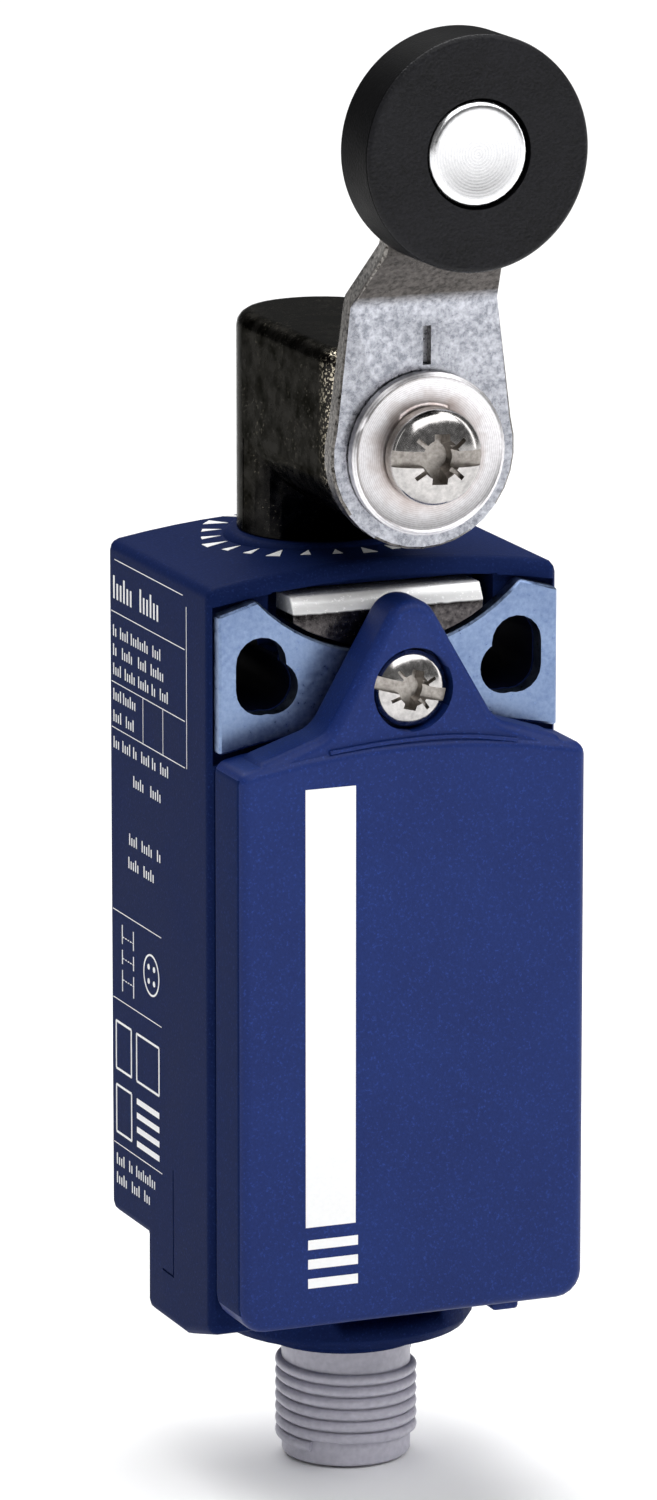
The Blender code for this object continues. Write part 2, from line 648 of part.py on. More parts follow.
def make_washer():
    """A dished washer with a low outer lip and a raised middle."""
    front = -LEVER_Y + 0.2
    profile = [(1.9, front), (WASHER_RADIUS, front), (WASHER_RADIUS, front + 0.75),
               (WASHER_RADIUS - 0.3, front + 1.0), (WASHER_RADIUS - 0.6, front + 0.8),
               (4.2, front + 0.65), (3.9, front + 1.0), (1.9, front + 1.0), (1.9, front)]
    return turned("lever_washer", profile, (0, 0, SHAFT_Z), "-Y", STEEL, 40)


def make_roller():
    front, back = -ROLLER_FRONT_Y, -ROLLER_FRONT_Y - ROLLER_WIDTH
    rim = 0.7
    pocket = HUB_RADIUS + 0.25
    profile = [(pocket, front), (ROLLER_RADIUS - rim, front), (ROLLER_RADIUS - 0.2, front - 0.2),
               (ROLLER_RADIUS, front - rim), (ROLLER_RADIUS, back + rim), (ROLLER_RADIUS - rim, back),
               (ROLLER_BORE_RADIUS, back), (ROLLER_BORE_RADIUS, front - HUB_DEPTH),
               (pocket, front - HUB_DEPTH), (pocket, front)]
    return turned("roller", profile, (0, 0, ROLLER_Z), "-Y", BLACK, 48)


def make_roller_pin():
    """The rivet that carries the roller, clenched over behind the lever."""
    front = -ROLLER_FRONT_Y
    lever_front = -LEVER_Y + LEVER_JOG
    profile = [(0, front - 0.05), (HUB_RADIUS - 0.25, front - 0.05), (HUB_RADIUS, front - 0.3),
               (HUB_RADIUS, front - 2.9), (2.6, front - 2.9), (2.6, lever_front + 0.2),
               (1.5, lever_front + 0.2), (1.5, lever_front - LEVER_THICKNESS - 0.2),
               (2.9, lever_front - LEVER_THICKNESS - 0.2), (2.6, lever_front - LEVER_THICKNESS - 1.1),
               (0, lever_front - LEVER_THICKNESS - 1.2)]
    return turned("roller_pin", profile, (0, 0, ROLLER_Z), "-Y", STEEL, 32)


# ---------------------------------------------------------------- plunger and contacts

def helix(radius, bottom, top, turns, x, y, steps=9):
    count = int(turns * steps)
    points = []
    for index in range(count + 1):
        turn = 2 * math.pi * turns * index / count
        height = bottom + (top - bottom) * index / count
        points.append((x + radius * math.cos(turn), y + radius * math.sin(turn), height))
    return points


def make_plunger():
    """A slim pin with a domed top and a collar that its spring pushes up."""
    collar_top, collar_bottom = PLUNGER_COLLAR_TOP_Z, PLUNGER_COLLAR_BOTTOM_Z
    profile = [(0, PLUNGER_TOP_Z), (0.8, PLUNGER_TOP_Z - 0.1), (1.4, PLUNGER_TOP_Z - 0.7),
               (PLUNGER_RADIUS, PLUNGER_TOP_Z - 1.7), (PLUNGER_RADIUS, collar_top),
               (PLUNGER_COLLAR_RADIUS, collar_top), (PLUNGER_COLLAR_RADIUS, collar_bottom),
               (PLUNGER_RADIUS, collar_bottom), (PLUNGER_RADIUS, PLUNGER_BOTTOM_Z), (0, PLUNGER_BOTTOM_Z)]
    return turned("plunger", profile, (0, HEAD_Y, 0), "+Z", CREAM, 24)


def make_contact_block():
    block = box("contact_block", (-11.5, BLOCK_FRONT_Y, BLOCK_BOTTOM_Z), (11.5, -3.0, BLOCK_TOP_Z), BLACK)
    soften(block, 0.4, 1)
    combine(block, box("chamber", (-7.6, -30, CHAMBER_BOTTOM_Z), (7.6, -5.0, CHAMBER_TOP_Z), BLACK,
                       "cutters"))
    combine(block, rod("plunger_way", (0, HEAD_Y, -15), (0, HEAD_Y, -8), PLUNGER_WAY_RADIUS, BLACK, 24,
                       "cutters"))
    combine(block, rod("spring_seat", (0, HEAD_Y, CHAMBER_BOTTOM_Z - 0.5), (0, HEAD_Y, -30), 2.2, BLACK, 24,
                       "cutters"))
    for side in (-1, 1):
        for height in (UPPER_CONTACT_Z, LOWER_CONTACT_Z):
            z = strip_height(height)
            low = sorted((side * 6.5, side * 10.9))
            combine(block, box("strip_way", (low[0], -30, z - STRIP_HALF_THICKNESS - GAP),
                               (low[1], -7.2, z + STRIP_HALF_THICKNESS + GAP), BLACK, "cutters"))
    return block


def strip_height(bridge_z):
    """Fixed contacts lie above the upper bridge and a stroke below the lower one."""
    if bridge_z == UPPER_CONTACT_Z:
        return bridge_z + CONTACT_GAP
    return bridge_z - PLUNGER_TRAVEL - CONTACT_GAP


def make_terminal(name, side, bridge_z):
    """A brass strip: a finger in the chamber, an arm to the front and a turned foot."""
    z = strip_height(bridge_z)
    outline = [(4.6, -7.8), (10.4, -7.8), (10.4, -20.6), (11.6, -20.6), (11.6, -21.6), (9.4, -21.6),
               (9.4, -10.6), (4.6, -10.6)]
    points = [(side * x, y) for x, y in outline]
    if side < 0:
        points.reverse()
    return slab(name, [points], z - STRIP_HALF_THICKNESS, z + STRIP_HALF_THICKNESS, "XY", BRASS)


def make_carrier():
    half = CARRIER_HALF_WIDTH
    carrier = box("contact_carrier", (-half, HEAD_Y - half, CARRIER_BOTTOM_Z),
                  (half, HEAD_Y + half, CARRIER_TOP_Z), CREAM)
    soften(carrier, 0.3, 1)
    for height in (UPPER_CONTACT_Z, LOWER_CONTACT_Z):
        combine(carrier, box("bridge_way", (-5, -20, height - 0.7), (5, HEAD_Y + 1.3, height + 0.7), CREAM,
                             "cutters"))
    return carrier


def make_bridge(name, height):
    bridge = box(name, (-7.0, HEAD_Y - 1.9, height - 0.4), (7.0, HEAD_Y + 1.0, height + 0.4), BRASS)
    soften(bridge, 0.15, 1)
    return bridge


# ---------------------------------------------------------------- connector

def make_plug():
    """The grey threaded nose with its open socket and the insert that holds the pins."""
    root = THREAD_RADIUS - 0.45
    profile = [(0, -46.6), (7.2, -46.6), (7.2, -47.7), (5.2, -47.7), (5.2, PLUG_NECK_Z - 1.3)]
    start = PLUG_NECK_Z - 1.4
    for turn in range(THREAD_TURNS):
        top = start - turn * THREAD_PITCH
        profile += [(root, top), (THREAD_RADIUS, top - 0.3), (THREAD_RADIUS, top - 0.55),
                    (root, top - 0.85)]
    profile += [(root, PLUG_TIP_Z + 0.3), (root - 0.3, PLUG_TIP_Z), (4.3, PLUG_TIP_Z),
                (4.3, -59.5), (0, -59.5)]
    plug = turned("m12_plug", profile, (0, PLUG_Y, 0), "+Z", GREY, 32)
    key = box("key_way", (-0.6, PLUG_Y - 4.75, -70), (0.6, PLUG_Y - 3, -60), GREY, "cutters")
    combine(plug, key)
    for x, y in pin_places():
        combine(plug, rod("pin_way", (x, y, -70), (x, y, -40), PIN_RADIUS + 0.3, GREY, 12, "cutters"))
    return plug


def pin_places():
    return [(PIN_CIRCLE * math.cos(math.radians(turn)), PLUG_Y + PIN_CIRCLE * math.sin(math.radians(turn)))
            for turn in (135, 45, -45, -135)]


def make_pin(name, place):
    x, y = place
    profile = [(0, -44.8), (PIN_RADIUS, -44.8), (PIN_RADIUS, -66.0), (PIN_RADIUS - 0.25, -66.5), (0, -66.5)]
    return turned(name, profile, (x, y, 0), "+Z", BRASS, 12)


def make_lead(name, side, bridge_z, pin):
    """One insulated lead from a terminal's foot down to the top of its pin."""
    z = strip_height(bridge_z)
    upper = bridge_z == UPPER_CONTACT_Z
    front = -24.6 if upper else -22.4
    start = (side * 11.0, -21.1, z - 1.1)
    x, y = pin
    points = [start, (side * 11.0, -21.3, z - 1.9), (side * 10.9, front, z - 4.2),
              (side * 10.4, front, -38.5), (side * 7.0, (front + y) / 2, -41.5),
              (x * 1.3, y - 0.8, -42.6), (x, y, -43.4), (x, y, -44.4)]
    return wire(name, smooth_route(points), 0.55, RUBBER)


def smooth_route(points, steps=3):
    """Catmull-Rom points through a hand-chosen route."""
    rows = [Vector(point) for point in points]
    rows = [rows[0] * 2 - rows[1]] + rows + [rows[-1] * 2 - rows[-2]]
    route = []
    for before, start, end, after in zip(rows, rows[1:], rows[2:], rows[3:]):
        for step in range(steps):
            t = step / steps
            route.append(0.5 * (2 * start + (end - before) * t
                                + (2 * before - 5 * start + 4 * end - after) * t ** 2
                                + (3 * start - before - 3 * end + after) * t ** 3))
    route.append(rows[-2])
    return route


# ---------------------------------------------------------------- assembly

def make_static_parts():
    make_housing()
    make_cover_seal()
    make_plate()
    make_lock_bar()
    make_cover()
    make_screw("cover_screw", -18.0, -28.6, COVER_SCREW_RADIUS, 2.0, 1.5, z=COVER_SCREW_Z)
    make_contact_block()
    make_plug()
    pins = pin_places()
    number = 0
    for bridge_z in (UPPER_CONTACT_Z, LOWER_CONTACT_Z):
        for side in (-1, 1):
            number += 1
            make_terminal(f"fixed_contact_{number}", side, bridge_z)
            row = (3, 2) if bridge_z == UPPER_CONTACT_Z else (0, 1)
            pin = pins[row[0] if side < 0 else row[1]]
            make_pin(f"connector_pin_{number}", pin)
            make_lead(f"lead_{number}", side, bridge_z, pin)


def make_head_parts():
    pivot = (0, HEAD_Y, HEAD_BASE_Z)
    for item in (make_head(), torus("head_seal", (0, HEAD_Y, 5.8), "+Z", 4.98, 0.68, RUBBER),
                 make_bushing(), torus("shaft_seal", (0, -26.7, SHAFT_Z), "-Y", 4.05, 0.85, RUBBER)):
        set_pivot(item, pivot)


def make_lever_parts():
    pivot = (0, LEVER_Y, SHAFT_Z)
    screw_face = LEVER_Y - 1.4 - 2.3
    for item in (make_shaft(), make_lever(), make_washer(), make_roller_pin(),
                 make_screw("lever_screw", -22.0, screw_face, 3.85, 2.3, 1.4, z=SHAFT_Z, slot_width=1.4)):
        set_pivot(item, pivot)
    set_pivot(make_roller(), (0, ROLLER_FRONT_Y, ROLLER_Z))


def make_plunger_parts():
    set_pivot(make_plunger(), (0, HEAD_Y, 0))
    coil = helix(PLUNGER_SPRING_RADIUS, SPIGOT_BOTTOM_Z + 0.35, PLUNGER_COLLAR_BOTTOM_Z - 0.6, 5, 0, HEAD_Y)
    wire("plunger_spring", coil, PLUNGER_SPRING_WIRE, STEEL)
    for item in (make_carrier(), make_bridge("upper_bridge", UPPER_CONTACT_Z),
                 make_bridge("lower_bridge", LOWER_CONTACT_Z)):
        set_pivot(item, (0, HEAD_Y, UPPER_CONTACT_Z))
    coil = helix(CONTACT_SPRING_RADIUS, CHAMBER_BOTTOM_Z, CARRIER_BOTTOM_Z - 0.55, 4, 0, HEAD_Y)
    wire("contact_spring", coil, CONTACT_SPRING_WIRE, STEEL)


make_static_parts()
make_head_parts()
make_lever_parts()
make_plunger_parts()
for part in COLLECTIONS["limit_switch"].objects:
    shade(part)
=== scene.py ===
# %% [markdown]
# # A roller-lever limit switch, finished for looking at
#
# The mechanical model comes in as a fixed frame. Around it this notebook makes the
# surfaces that a person sees: moulded blue plastic, zinc plate, dark nickel, stamped
# steel and a satin black roller. Every place is read from the frame, so each new piece
# sits exactly on the part that it dresses.

# %% Load the frame
import math

import bmesh
import bpy
from mathutils import Matrix, Vector


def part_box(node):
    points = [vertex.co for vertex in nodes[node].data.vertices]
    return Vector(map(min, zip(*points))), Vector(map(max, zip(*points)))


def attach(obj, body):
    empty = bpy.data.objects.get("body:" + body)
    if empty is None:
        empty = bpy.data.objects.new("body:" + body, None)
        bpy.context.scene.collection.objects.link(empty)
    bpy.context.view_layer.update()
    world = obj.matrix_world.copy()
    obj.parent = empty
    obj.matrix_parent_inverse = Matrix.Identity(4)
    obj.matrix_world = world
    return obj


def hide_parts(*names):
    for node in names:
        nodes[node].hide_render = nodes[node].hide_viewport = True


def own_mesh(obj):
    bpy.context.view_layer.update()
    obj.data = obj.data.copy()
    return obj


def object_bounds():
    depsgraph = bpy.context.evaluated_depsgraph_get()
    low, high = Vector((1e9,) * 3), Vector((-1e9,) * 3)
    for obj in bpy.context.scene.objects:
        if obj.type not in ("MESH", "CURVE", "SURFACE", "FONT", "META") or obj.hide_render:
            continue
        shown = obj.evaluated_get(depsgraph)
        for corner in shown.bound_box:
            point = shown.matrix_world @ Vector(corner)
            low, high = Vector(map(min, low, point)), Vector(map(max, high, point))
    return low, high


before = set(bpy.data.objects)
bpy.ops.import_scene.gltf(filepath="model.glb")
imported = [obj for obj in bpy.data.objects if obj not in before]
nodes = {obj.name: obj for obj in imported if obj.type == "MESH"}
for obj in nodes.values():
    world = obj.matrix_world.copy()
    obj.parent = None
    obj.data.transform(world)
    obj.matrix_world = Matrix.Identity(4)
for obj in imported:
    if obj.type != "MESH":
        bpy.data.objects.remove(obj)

MM = 0.001
cad_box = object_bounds()
print("CAD box in mm:", [[round(v / MM, 1) for v in corner] for corner in cad_box])

# %% [markdown]
# ## Working as by hand
#
# Operators act on whatever is selected, so every step first clears the selection.
# These helpers are the few motions that repeat: pick an object up, choose its faces or
# edges by where they are, modify it, and put it down. A cutting tool reaches past the
# face it enters by PAST, so no thin skin is left.

# %% Selection and edit helpers
PAST = 1.0


def clear_selection():
    if bpy.context.mode != "OBJECT":
        bpy.ops.object.mode_set(mode="OBJECT")
    for item in list(bpy.context.selected_objects):
        item.select_set(False)


def pick_up(item):
    clear_selection()
    item.select_set(True)
    bpy.context.view_layer.objects.active = item
    return item


def pick_parts(item, kind, test):
    """Open the item in edit mode with the faces, edges or verts that pass a test."""
    pick_up(item)
    bpy.ops.object.mode_set(mode="EDIT")
    bpy.ops.mesh.select_mode(type=kind[:-1].upper())
    bpy.ops.mesh.select_all(action="DESELECT")
    shape = bmesh.from_edit_mesh(item.data)
    for part in getattr(shape, kind):
        part.select_set(bool(test(part)))
    shape.select_flush_mode()
    bmesh.update_edit_mesh(item.data)


def leave_edit():
    bpy.ops.object.mode_set(mode="OBJECT")


def middle(face_or_edge):
    """Middle of a face or an edge in millimetres."""
    points = [vert.co for vert in face_or_edge.verts]
    return sum(points, Vector()) / len(points) / MM


def modify(item, kind, **settings):
    """Add a modifier, set it up and apply it."""
    pick_up(item)
    modifier = item.modifiers.new(kind.lower(), kind)
    for key, value in settings.items():
        setattr(modifier, key, value)
    bpy.ops.object.modifier_apply(modifier=modifier.name)


def settle(item):
    """Put the place and the turn of an object into its mesh."""
    pick_up(item)
    bpy.ops.object.transform_apply(location=True, rotation=True, scale=True)
    return item


def cylinder(name, start, end, radius, sides=64):
    """A round bar between two points in millimetres, as a settled object."""
    start, end = Vector(start), Vector(end)
    along = end - start
    clear_selection()
    bpy.ops.mesh.primitive_cylinder_add(
        vertices=sides, radius=radius * MM, depth=along.length * MM,
        location=(start + end) / 2 * MM,
        rotation=along.to_track_quat("Z", "Y").to_euler())
    item = bpy.context.object
    item.name = name
    return settle(item)


def block(name, low, high):
    """A box between two corners in millimetres, as a settled object."""
    low, high = Vector(low), Vector(high)
    clear_selection()
    bpy.ops.mesh.primitive_cube_add(size=1, location=(low + high) / 2 * MM)
    item = bpy.context.object
    item.name = name
    item.scale = (high - low) * MM
    return settle(item)


def combine(item, other, operation="DIFFERENCE"):
    """Cut with, or join to, another closed piece, which is then used up."""
    modify(item, "BOOLEAN", operation=operation, solver="EXACT", object=other)
    bpy.data.objects.remove(other, do_unlink=True)


def round_edges(item, width, segments=3, angle=35):
    modify(item, "BEVEL", width=width * MM, segments=segments, limit_method="ANGLE",
           angle_limit=math.radians(angle), use_clamp_overlap=True)


def new_object(name, data):
    item = bpy.data.objects.new(name, data)
    bpy.context.scene.collection.objects.link(item)
    return item


def merged_copy(node, name):
    """A joined-up copy of a CAD node, whose own mesh is loose triangles."""
    clear_selection()
    item = pick_up(new_object(name, nodes[node].data.copy()))
    bpy.ops.object.mode_set(mode="EDIT")
    bpy.ops.mesh.select_all(action="SELECT")
    bpy.ops.mesh.remove_doubles(threshold=0.000002)
    bpy.ops.mesh.dissolve_limited(angle_limit=math.radians(0.3))
    leave_edit()
    return item


def put_down(item, body, finish, replaces=(), smooth=32, weighted=True, second=None):
    """Shade a finished piece, with a second finish on some faces if wanted, and hand it to the frame."""
    pick_up(item)
    bpy.ops.object.shade_smooth_by_angle(angle=math.radians(smooth))
    if weighted:
        modify(item, "WEIGHTED_NORMAL", keep_sharp=True)
    item.data.materials.clear()
    item.data.materials.append(finish)
    for face in item.data.polygons:
        face.material_index = 0
    if second:
        second_finish, test = second
        item.data.materials.append(second_finish)
        for face in item.data.polygons:
            face.material_index = int(test(face))
    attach(item, body)
    if replaces:
        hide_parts(*replaces)
    corners = [Vector(corner) for corner in item.bound_box]
    size = [round((max(c[i] for c in corners) - min(c[i] for c in corners)) / MM, 1) for i in range(3)]
    print(item.name, "size in mm", size, "faces", len(item.data.polygons))
    return item


# %% [markdown]
# ## Shader sums as ordinary sums
#
# A material is a small calculation on the surface's own coordinates. Wrapping a socket
# lets that calculation read like arithmetic, and one node method covers everything
# that arithmetic can't say.

# %% The socket wrapper


class Value:
    """One socket of a material's tree, usable in sums."""

    def __init__(self, recipe, socket):
        self.recipe = recipe
        self.socket = socket

    def _sum(self, operation, first, second):
        return self.recipe.node("ShaderNodeMath", {"operation": operation}, {0: first, 1: second})

    def __add__(self, other):
        return self._sum("ADD", self, other)

    def __sub__(self, other):
        return self._sum("SUBTRACT", self, other)

    def __rsub__(self, other):
        return self._sum("SUBTRACT", other, self)

    def __mul__(self, other):
        return self._sum("MULTIPLY", self, other)


class Recipe:
    """A material under construction."""

    def __init__(self, name):
        self.material = bpy.data.materials.new(name)
        self.material.use_nodes = True
        self.tree = self.material.node_tree
        self.shader = self.tree.nodes["Principled BSDF"]

    def node(self, kind, settings=None, inputs=None, output=0):
        """Add a node: settings first, then values or links for its sockets."""
        made = self.tree.nodes.new(kind)
        for key, value in (settings or {}).items():
            setattr(made, key, value)
        for key, value in (inputs or {}).items():
            self._feed(made.inputs[key], value)
        return Value(self, made.outputs[output])

    def _feed(self, socket, value):
        if isinstance(value, Value):
            self.tree.links.new(value.socket, socket)
        else:
            socket.default_value = value

    def set(self, **values):
        """Feed the shader; underscores in a name stand for spaces."""
        for key, value in values.items():
            self._feed(self.shader.inputs[key.replace("_", " ")], value)

    def place(self, scale=(1, 1, 1), move=(0, 0, 0)):
        """Object coordinates in metres, scaled or moved."""
        here = self.node("ShaderNodeTexCoord", output="Object")
        return self.node("ShaderNodeMapping", inputs={"Vector": here, "Scale": scale, "Location": move})

    def noise(self, size, detail=2.0, rough=0.5):
        """Noise from 0 to 1 with blobs of about a size in millimetres."""
        return self.node("ShaderNodeTexNoise", inputs={
            "Vector": self.place(), "Scale": 1 / (size * MM), "Detail": detail, "Roughness": rough})

    def blend(self, amount, low, high):
        """Mix two colours by an amount from 0 to 1."""
        return self.node("ShaderNodeMix", {"data_type": "RGBA"}, {0: amount, 6: low, 7: high}, 2)

    def clip(self, value, low, high, to_low=0.0, to_high=1.0):
        """Stretch a range of values onto another, held at its ends."""
        return self.node("ShaderNodeMapRange", {"clamp": True}, {
            0: value, 1: low, 2: high, 3: to_low, 4: to_high})

    def bump(self, height, depth_mm, strength):
        """Turn a height from 0 to 1 into a normal, for a depth in millimetres."""
        return self.node("ShaderNodeBump", inputs={
            "Height": height, "Distance": depth_mm * MM, "Strength": strength})


def colour(red, green, blue):
    return (red, green, blue, 1.0)


# %% [markdown]
# ## Moulded blue plastic
#
# The housing and cover are glass-filled nylon from a spark-eroded mould: a deep blue
# with a very fine grain that breaks the highlight up, a slight cloudiness where the
# melt flowed, and a few rubbed, shinier patches. Two sizes of noise make the grain,
# and one slow noise varies both colour and roughness.

# %% Blue plastic


def blue_plastic(name, dark, light, gloss, grain_mm=0.2, rough=(0.38, 0.5)):
    recipe = Recipe(name)
    cloud = recipe.noise(9.0, 3.0)
    fine = recipe.noise(grain_mm, 2.0, 0.6)
    pits = recipe.noise(grain_mm * 0.5, 1.0)
    specks = recipe.clip(fine, 0.6, 0.72)
    tone = recipe.clip(cloud * 0.45 + fine * 0.55, 0.32, 0.68)
    speck_colour = tuple(min(1.0, part * 2.2) for part in light[:3]) + (1.0,)
    recipe.set(Base_Color=recipe.blend(specks * 0.5, recipe.blend(tone, dark, light), speck_colour),
               Roughness=recipe.clip(cloud * 0.5 + pits * 0.5, 0.3, 0.7, *rough),
               Normal=recipe.bump(fine * 0.65 + pits * 0.35, 0.03, 0.6),
               IOR=1.5, Metallic=0.0, Specular_IOR_Level=gloss)
    return recipe.material


COVER_BLUE = blue_plastic("cover_blue", colour(0.006, 0.018, 0.11), colour(0.01, 0.028, 0.148), 0.17)
# A darker copy of the blue paints shade on the cover's narrow sides.
COVER_SIDE_SHADED = blue_plastic("cover_side_painted_shade", colour(0.004, 0.012, 0.062), colour(0.007, 0.018, 0.084), 0.01)
HOUSING_BLUE = blue_plastic("housing_blue", colour(0.005, 0.012, 0.057), colour(0.009, 0.018, 0.076), 0.01)
# A near-black copy of the blue paints shade on the walls of the fixing bores.
BORE_SHADE_BLUE = blue_plastic("bore_painted_shade", colour(0.0015, 0.002, 0.006), colour(0.003, 0.004, 0.012), 0.01)
print("plastics:", COVER_BLUE.name, HOUSING_BLUE.name, BORE_SHADE_BLUE.name)

# %% [markdown]
# ## Metals
#
# Each metal is told apart by its finish. The plate is barrel-galvanised, so it has a
# bluish, mottled crystal grain. The lever is stamped strip with an orange-peel
# surface, and a darker band across its jog is painted shade. The lock bar's white top is
# painted light and its dark front painted shade. The head is die-cast zinc under a dark,
# glossy nickel with bright flecks, and denser flecks along its front edge paint a
# highlight there. Turned parts have rings about their own axis, so their pattern is a
# wave on the distance from that axis.

# %% Zinc, nickel and steel


def mottled_metal(name, dark, light, grain_mm, depth_mm, rough):
    recipe = Recipe(name)
    grain = recipe.noise(grain_mm, 3.0, 0.6)
    slow = recipe.noise(4.0, 2.0)
    tone = recipe.clip(grain * 0.7 + slow * 0.3, 0.35, 0.65)
    recipe.set(Base_Color=recipe.blend(tone, dark, light), Metallic=1.0,
               Roughness=recipe.clip(grain, 0.3, 0.7, *rough),
               Normal=recipe.bump(grain, depth_mm, 0.6))
    return recipe.material


def turned_metal(name, centre, dark, light, ring_mm, rough, depth_mm=0.006, middle_tint=None):
    """Rings about an axis along Y through a centre (x, z) in millimetres, with a darker brownish middle if
    wanted, fading out between two radii.
    """
    recipe = Recipe(name)
    flat = recipe.place(scale=(1, 0, 1), move=(-centre[0] * MM, 0, -centre[1] * MM))
    distance = recipe.node("ShaderNodeVectorMath", {"operation": "LENGTH"}, {0: flat}, "Value")
    wobble = recipe.noise(1.5, 2.0)
    rings = recipe.node("ShaderNodeMath", {"operation": "SINE"}, {
        0: distance * (2 * math.pi / (ring_mm * MM)) + wobble * 3.0}) * 0.5 + 0.5
    scratches = recipe.noise(0.3, 3.0, 0.7)
    base = recipe.blend(recipe.clip(rings * 0.3 + scratches * 0.7, 0.3, 0.7), dark, light)
    if middle_tint:
        tint_colour, inner, outer = middle_tint
        ragged_mm = 2.0
        cover = recipe.clip(distance + (wobble - 0.5) * (ragged_mm * MM), inner * MM, outer * MM, 0.8, 0.0)
        base = recipe.blend(cover, base, tint_colour)
    recipe.set(Base_Color=base, Metallic=1.0,
               Roughness=recipe.clip(scratches * 0.6 + rings * 0.4, 0.2, 0.8, *rough),
               Normal=recipe.bump(rings * 0.5 + scratches * 0.5, depth_mm, 0.35))
    return recipe.material


def pinholed_nickel():
    """Dark plating: cloudy streaks, clustered bright flecks, and denser flecks along the front edge as a
    painted highlight.
    """
    recipe = Recipe("dark_nickel")
    streaks = recipe.noise(1.6, 4.0, 0.65)
    sparkle = recipe.noise(0.25, 2.0, 0.6)
    flecks = recipe.clip(sparkle, 0.64, 0.7)
    highlight_flecks = recipe.clip(sparkle, 0.54, 0.6)
    clusters = recipe.clip(recipe.noise(3.5, 2.0), 0.45, 0.62)
    front_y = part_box("head_casing")[0].y
    depth = recipe.node("ShaderNodeSeparateXYZ", inputs={"Vector": recipe.place()}, output="Y")
    # Denser flecks near the front face paint a highlight along the head's front edge.
    highlight_from, highlight_to = 0.3, 2.2
    front_highlight = 1 - recipe.clip(depth, front_y + highlight_from * MM, front_y + highlight_to * MM)
    bright = flecks * clusters * 0.15 + highlight_flecks * front_highlight * 0.7
    tone = recipe.blend(recipe.clip(streaks, 0.35, 0.65), colour(0.0085, 0.0083, 0.008),
                        colour(0.03, 0.0285, 0.0265))
    recipe.set(Base_Color=recipe.blend(bright, tone, colour(0.8, 0.72, 0.56)), Metallic=1.0,
               Specular_Tint=colour(0.46, 0.46, 0.455),
               Roughness=recipe.clip(streaks, 0.3, 0.7, 0.2, 0.32),
               Normal=recipe.bump(streaks * 0.5 + flecks * 0.5, 0.03, 0.4))
    return recipe.material


def banded_metal(name, band_z, soft, inside, outside, rough, dull=0.0):
    """Metal with another colour, and less mirror if dull is set, between two heights in millimetres; the band
    paints shade on the lever's jog, and light on the lock bar's top.
    """
    recipe = Recipe(name)
    height = recipe.node("ShaderNodeSeparateXYZ", inputs={"Vector": recipe.place()}, output="Z")
    grain = recipe.noise(0.4, 3.0, 0.6)
    patches = recipe.noise(2.2, 2.0)
    ragged_mm = 0.4
    height = height + (patches - 0.5) * (ragged_mm * MM)
    low_z, high_z = band_z
    painted_band = recipe.clip(height, low_z * MM, (low_z + soft) * MM)
    painted_band = painted_band * (1 - recipe.clip(height, high_z * MM, (high_z + soft) * MM))
    shade = recipe.clip(grain * 0.8 + patches * 0.2, 0.35, 0.65)
    recipe.set(Base_Color=recipe.blend(painted_band, recipe.blend(shade, *outside), recipe.blend(shade, *inside)),
               Metallic=1 - painted_band * dull, Roughness=recipe.clip(grain, 0.3, 0.7, *rough),
               Normal=recipe.bump(grain, 0.03, 0.5))
    return recipe.material


ZINC = mottled_metal(
    "zinc_plate", colour(0.135, 0.195, 0.345), colour(0.26, 0.345, 0.52), 0.45, 0.02, (0.26, 0.4))
# The dark band across the lever's jog, above the upper bend, is painted shade.
STRIP = banded_metal(
    "lever_steel_painted_shade", (30.2, 36.8), 1.0, (colour(0.045, 0.042, 0.04), colour(0.12, 0.11, 0.105)),
    (colour(0.2, 0.21, 0.24), colour(0.53, 0.54, 0.59)), (0.22, 0.36))
# The sheared rim is darker partly from its own rough finish and partly from painted shade.
SHEARED_AND_SHADED = mottled_metal(
    "sheared_edge_and_painted_shade", colour(0.02, 0.018, 0.016), colour(0.34, 0.32, 0.3), 0.3, 0.06, (0.25, 0.4))
NICKEL = pinholed_nickel()
shaft_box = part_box("lever_shaft")
shaft_centre = (shaft_box[0] + shaft_box[1]) / 2 / MM
roller_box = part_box("roller")
roller_centre = (roller_box[0] + roller_box[1]) / 2 / MM
# The washer is darker and browner round the screw head, fading out between 3.8 and 5.2 millimetres from the
# shaft.
WASHER_STEEL = turned_metal(
    "washer_steel", (shaft_centre.x, shaft_centre.z), colour(0.62, 0.6, 0.615), colour(0.86, 0.85, 0.87),
    0.16, (0.3, 0.42), depth_mm=0.002, middle_tint=(colour(0.34, 0.26, 0.23), 3.8, 5.2))
SCREW_STEEL = mottled_metal(
    "screw_steel", colour(0.34, 0.33, 0.325), colour(0.56, 0.54, 0.53), 0.5, 0.003, (0.12, 0.22))
HUB_STEEL = turned_metal(
    "hub_steel", (roller_centre.x, roller_centre.z), colour(0.7, 0.7, 0.72), colour(0.92, 0.92, 0.93),
    0.24, (0.16, 0.26))
# A near-white, less metallic band paints light on the lock bar's top; the rest is painted shade.
LOCK_STEEL = banded_metal(
    "lock_steel_painted_light_and_shade", (4.55, 9.0), 0.15, (colour(0.95, 0.95, 0.95), colour(1.0, 1.0, 1.0)),
    (colour(0.02, 0.018, 0.02), colour(0.12, 0.11, 0.11)), (0.16, 0.3), dull=0.8)
# A darker, browner steel paints shade on the walls of the screw recesses.
RECESS_SHADE_STEEL = mottled_metal(
    "recess_painted_shade", colour(0.22, 0.2, 0.185), colour(0.46, 0.43, 0.4), 0.4, 0.01, (0.3, 0.4))
SPRING_STEEL = mottled_metal(
    "spring_steel", colour(0.4, 0.39, 0.38), colour(0.7, 0.69, 0.68), 0.5, 0.01, (0.2, 0.35))
BRASS = mottled_metal(
    "contact_brass", colour(0.5, 0.33, 0.12), colour(0.78, 0.56, 0.25), 0.4, 0.01, (0.2, 0.35))
print("shaft centre", shaft_centre, "roller centre", roller_centre)

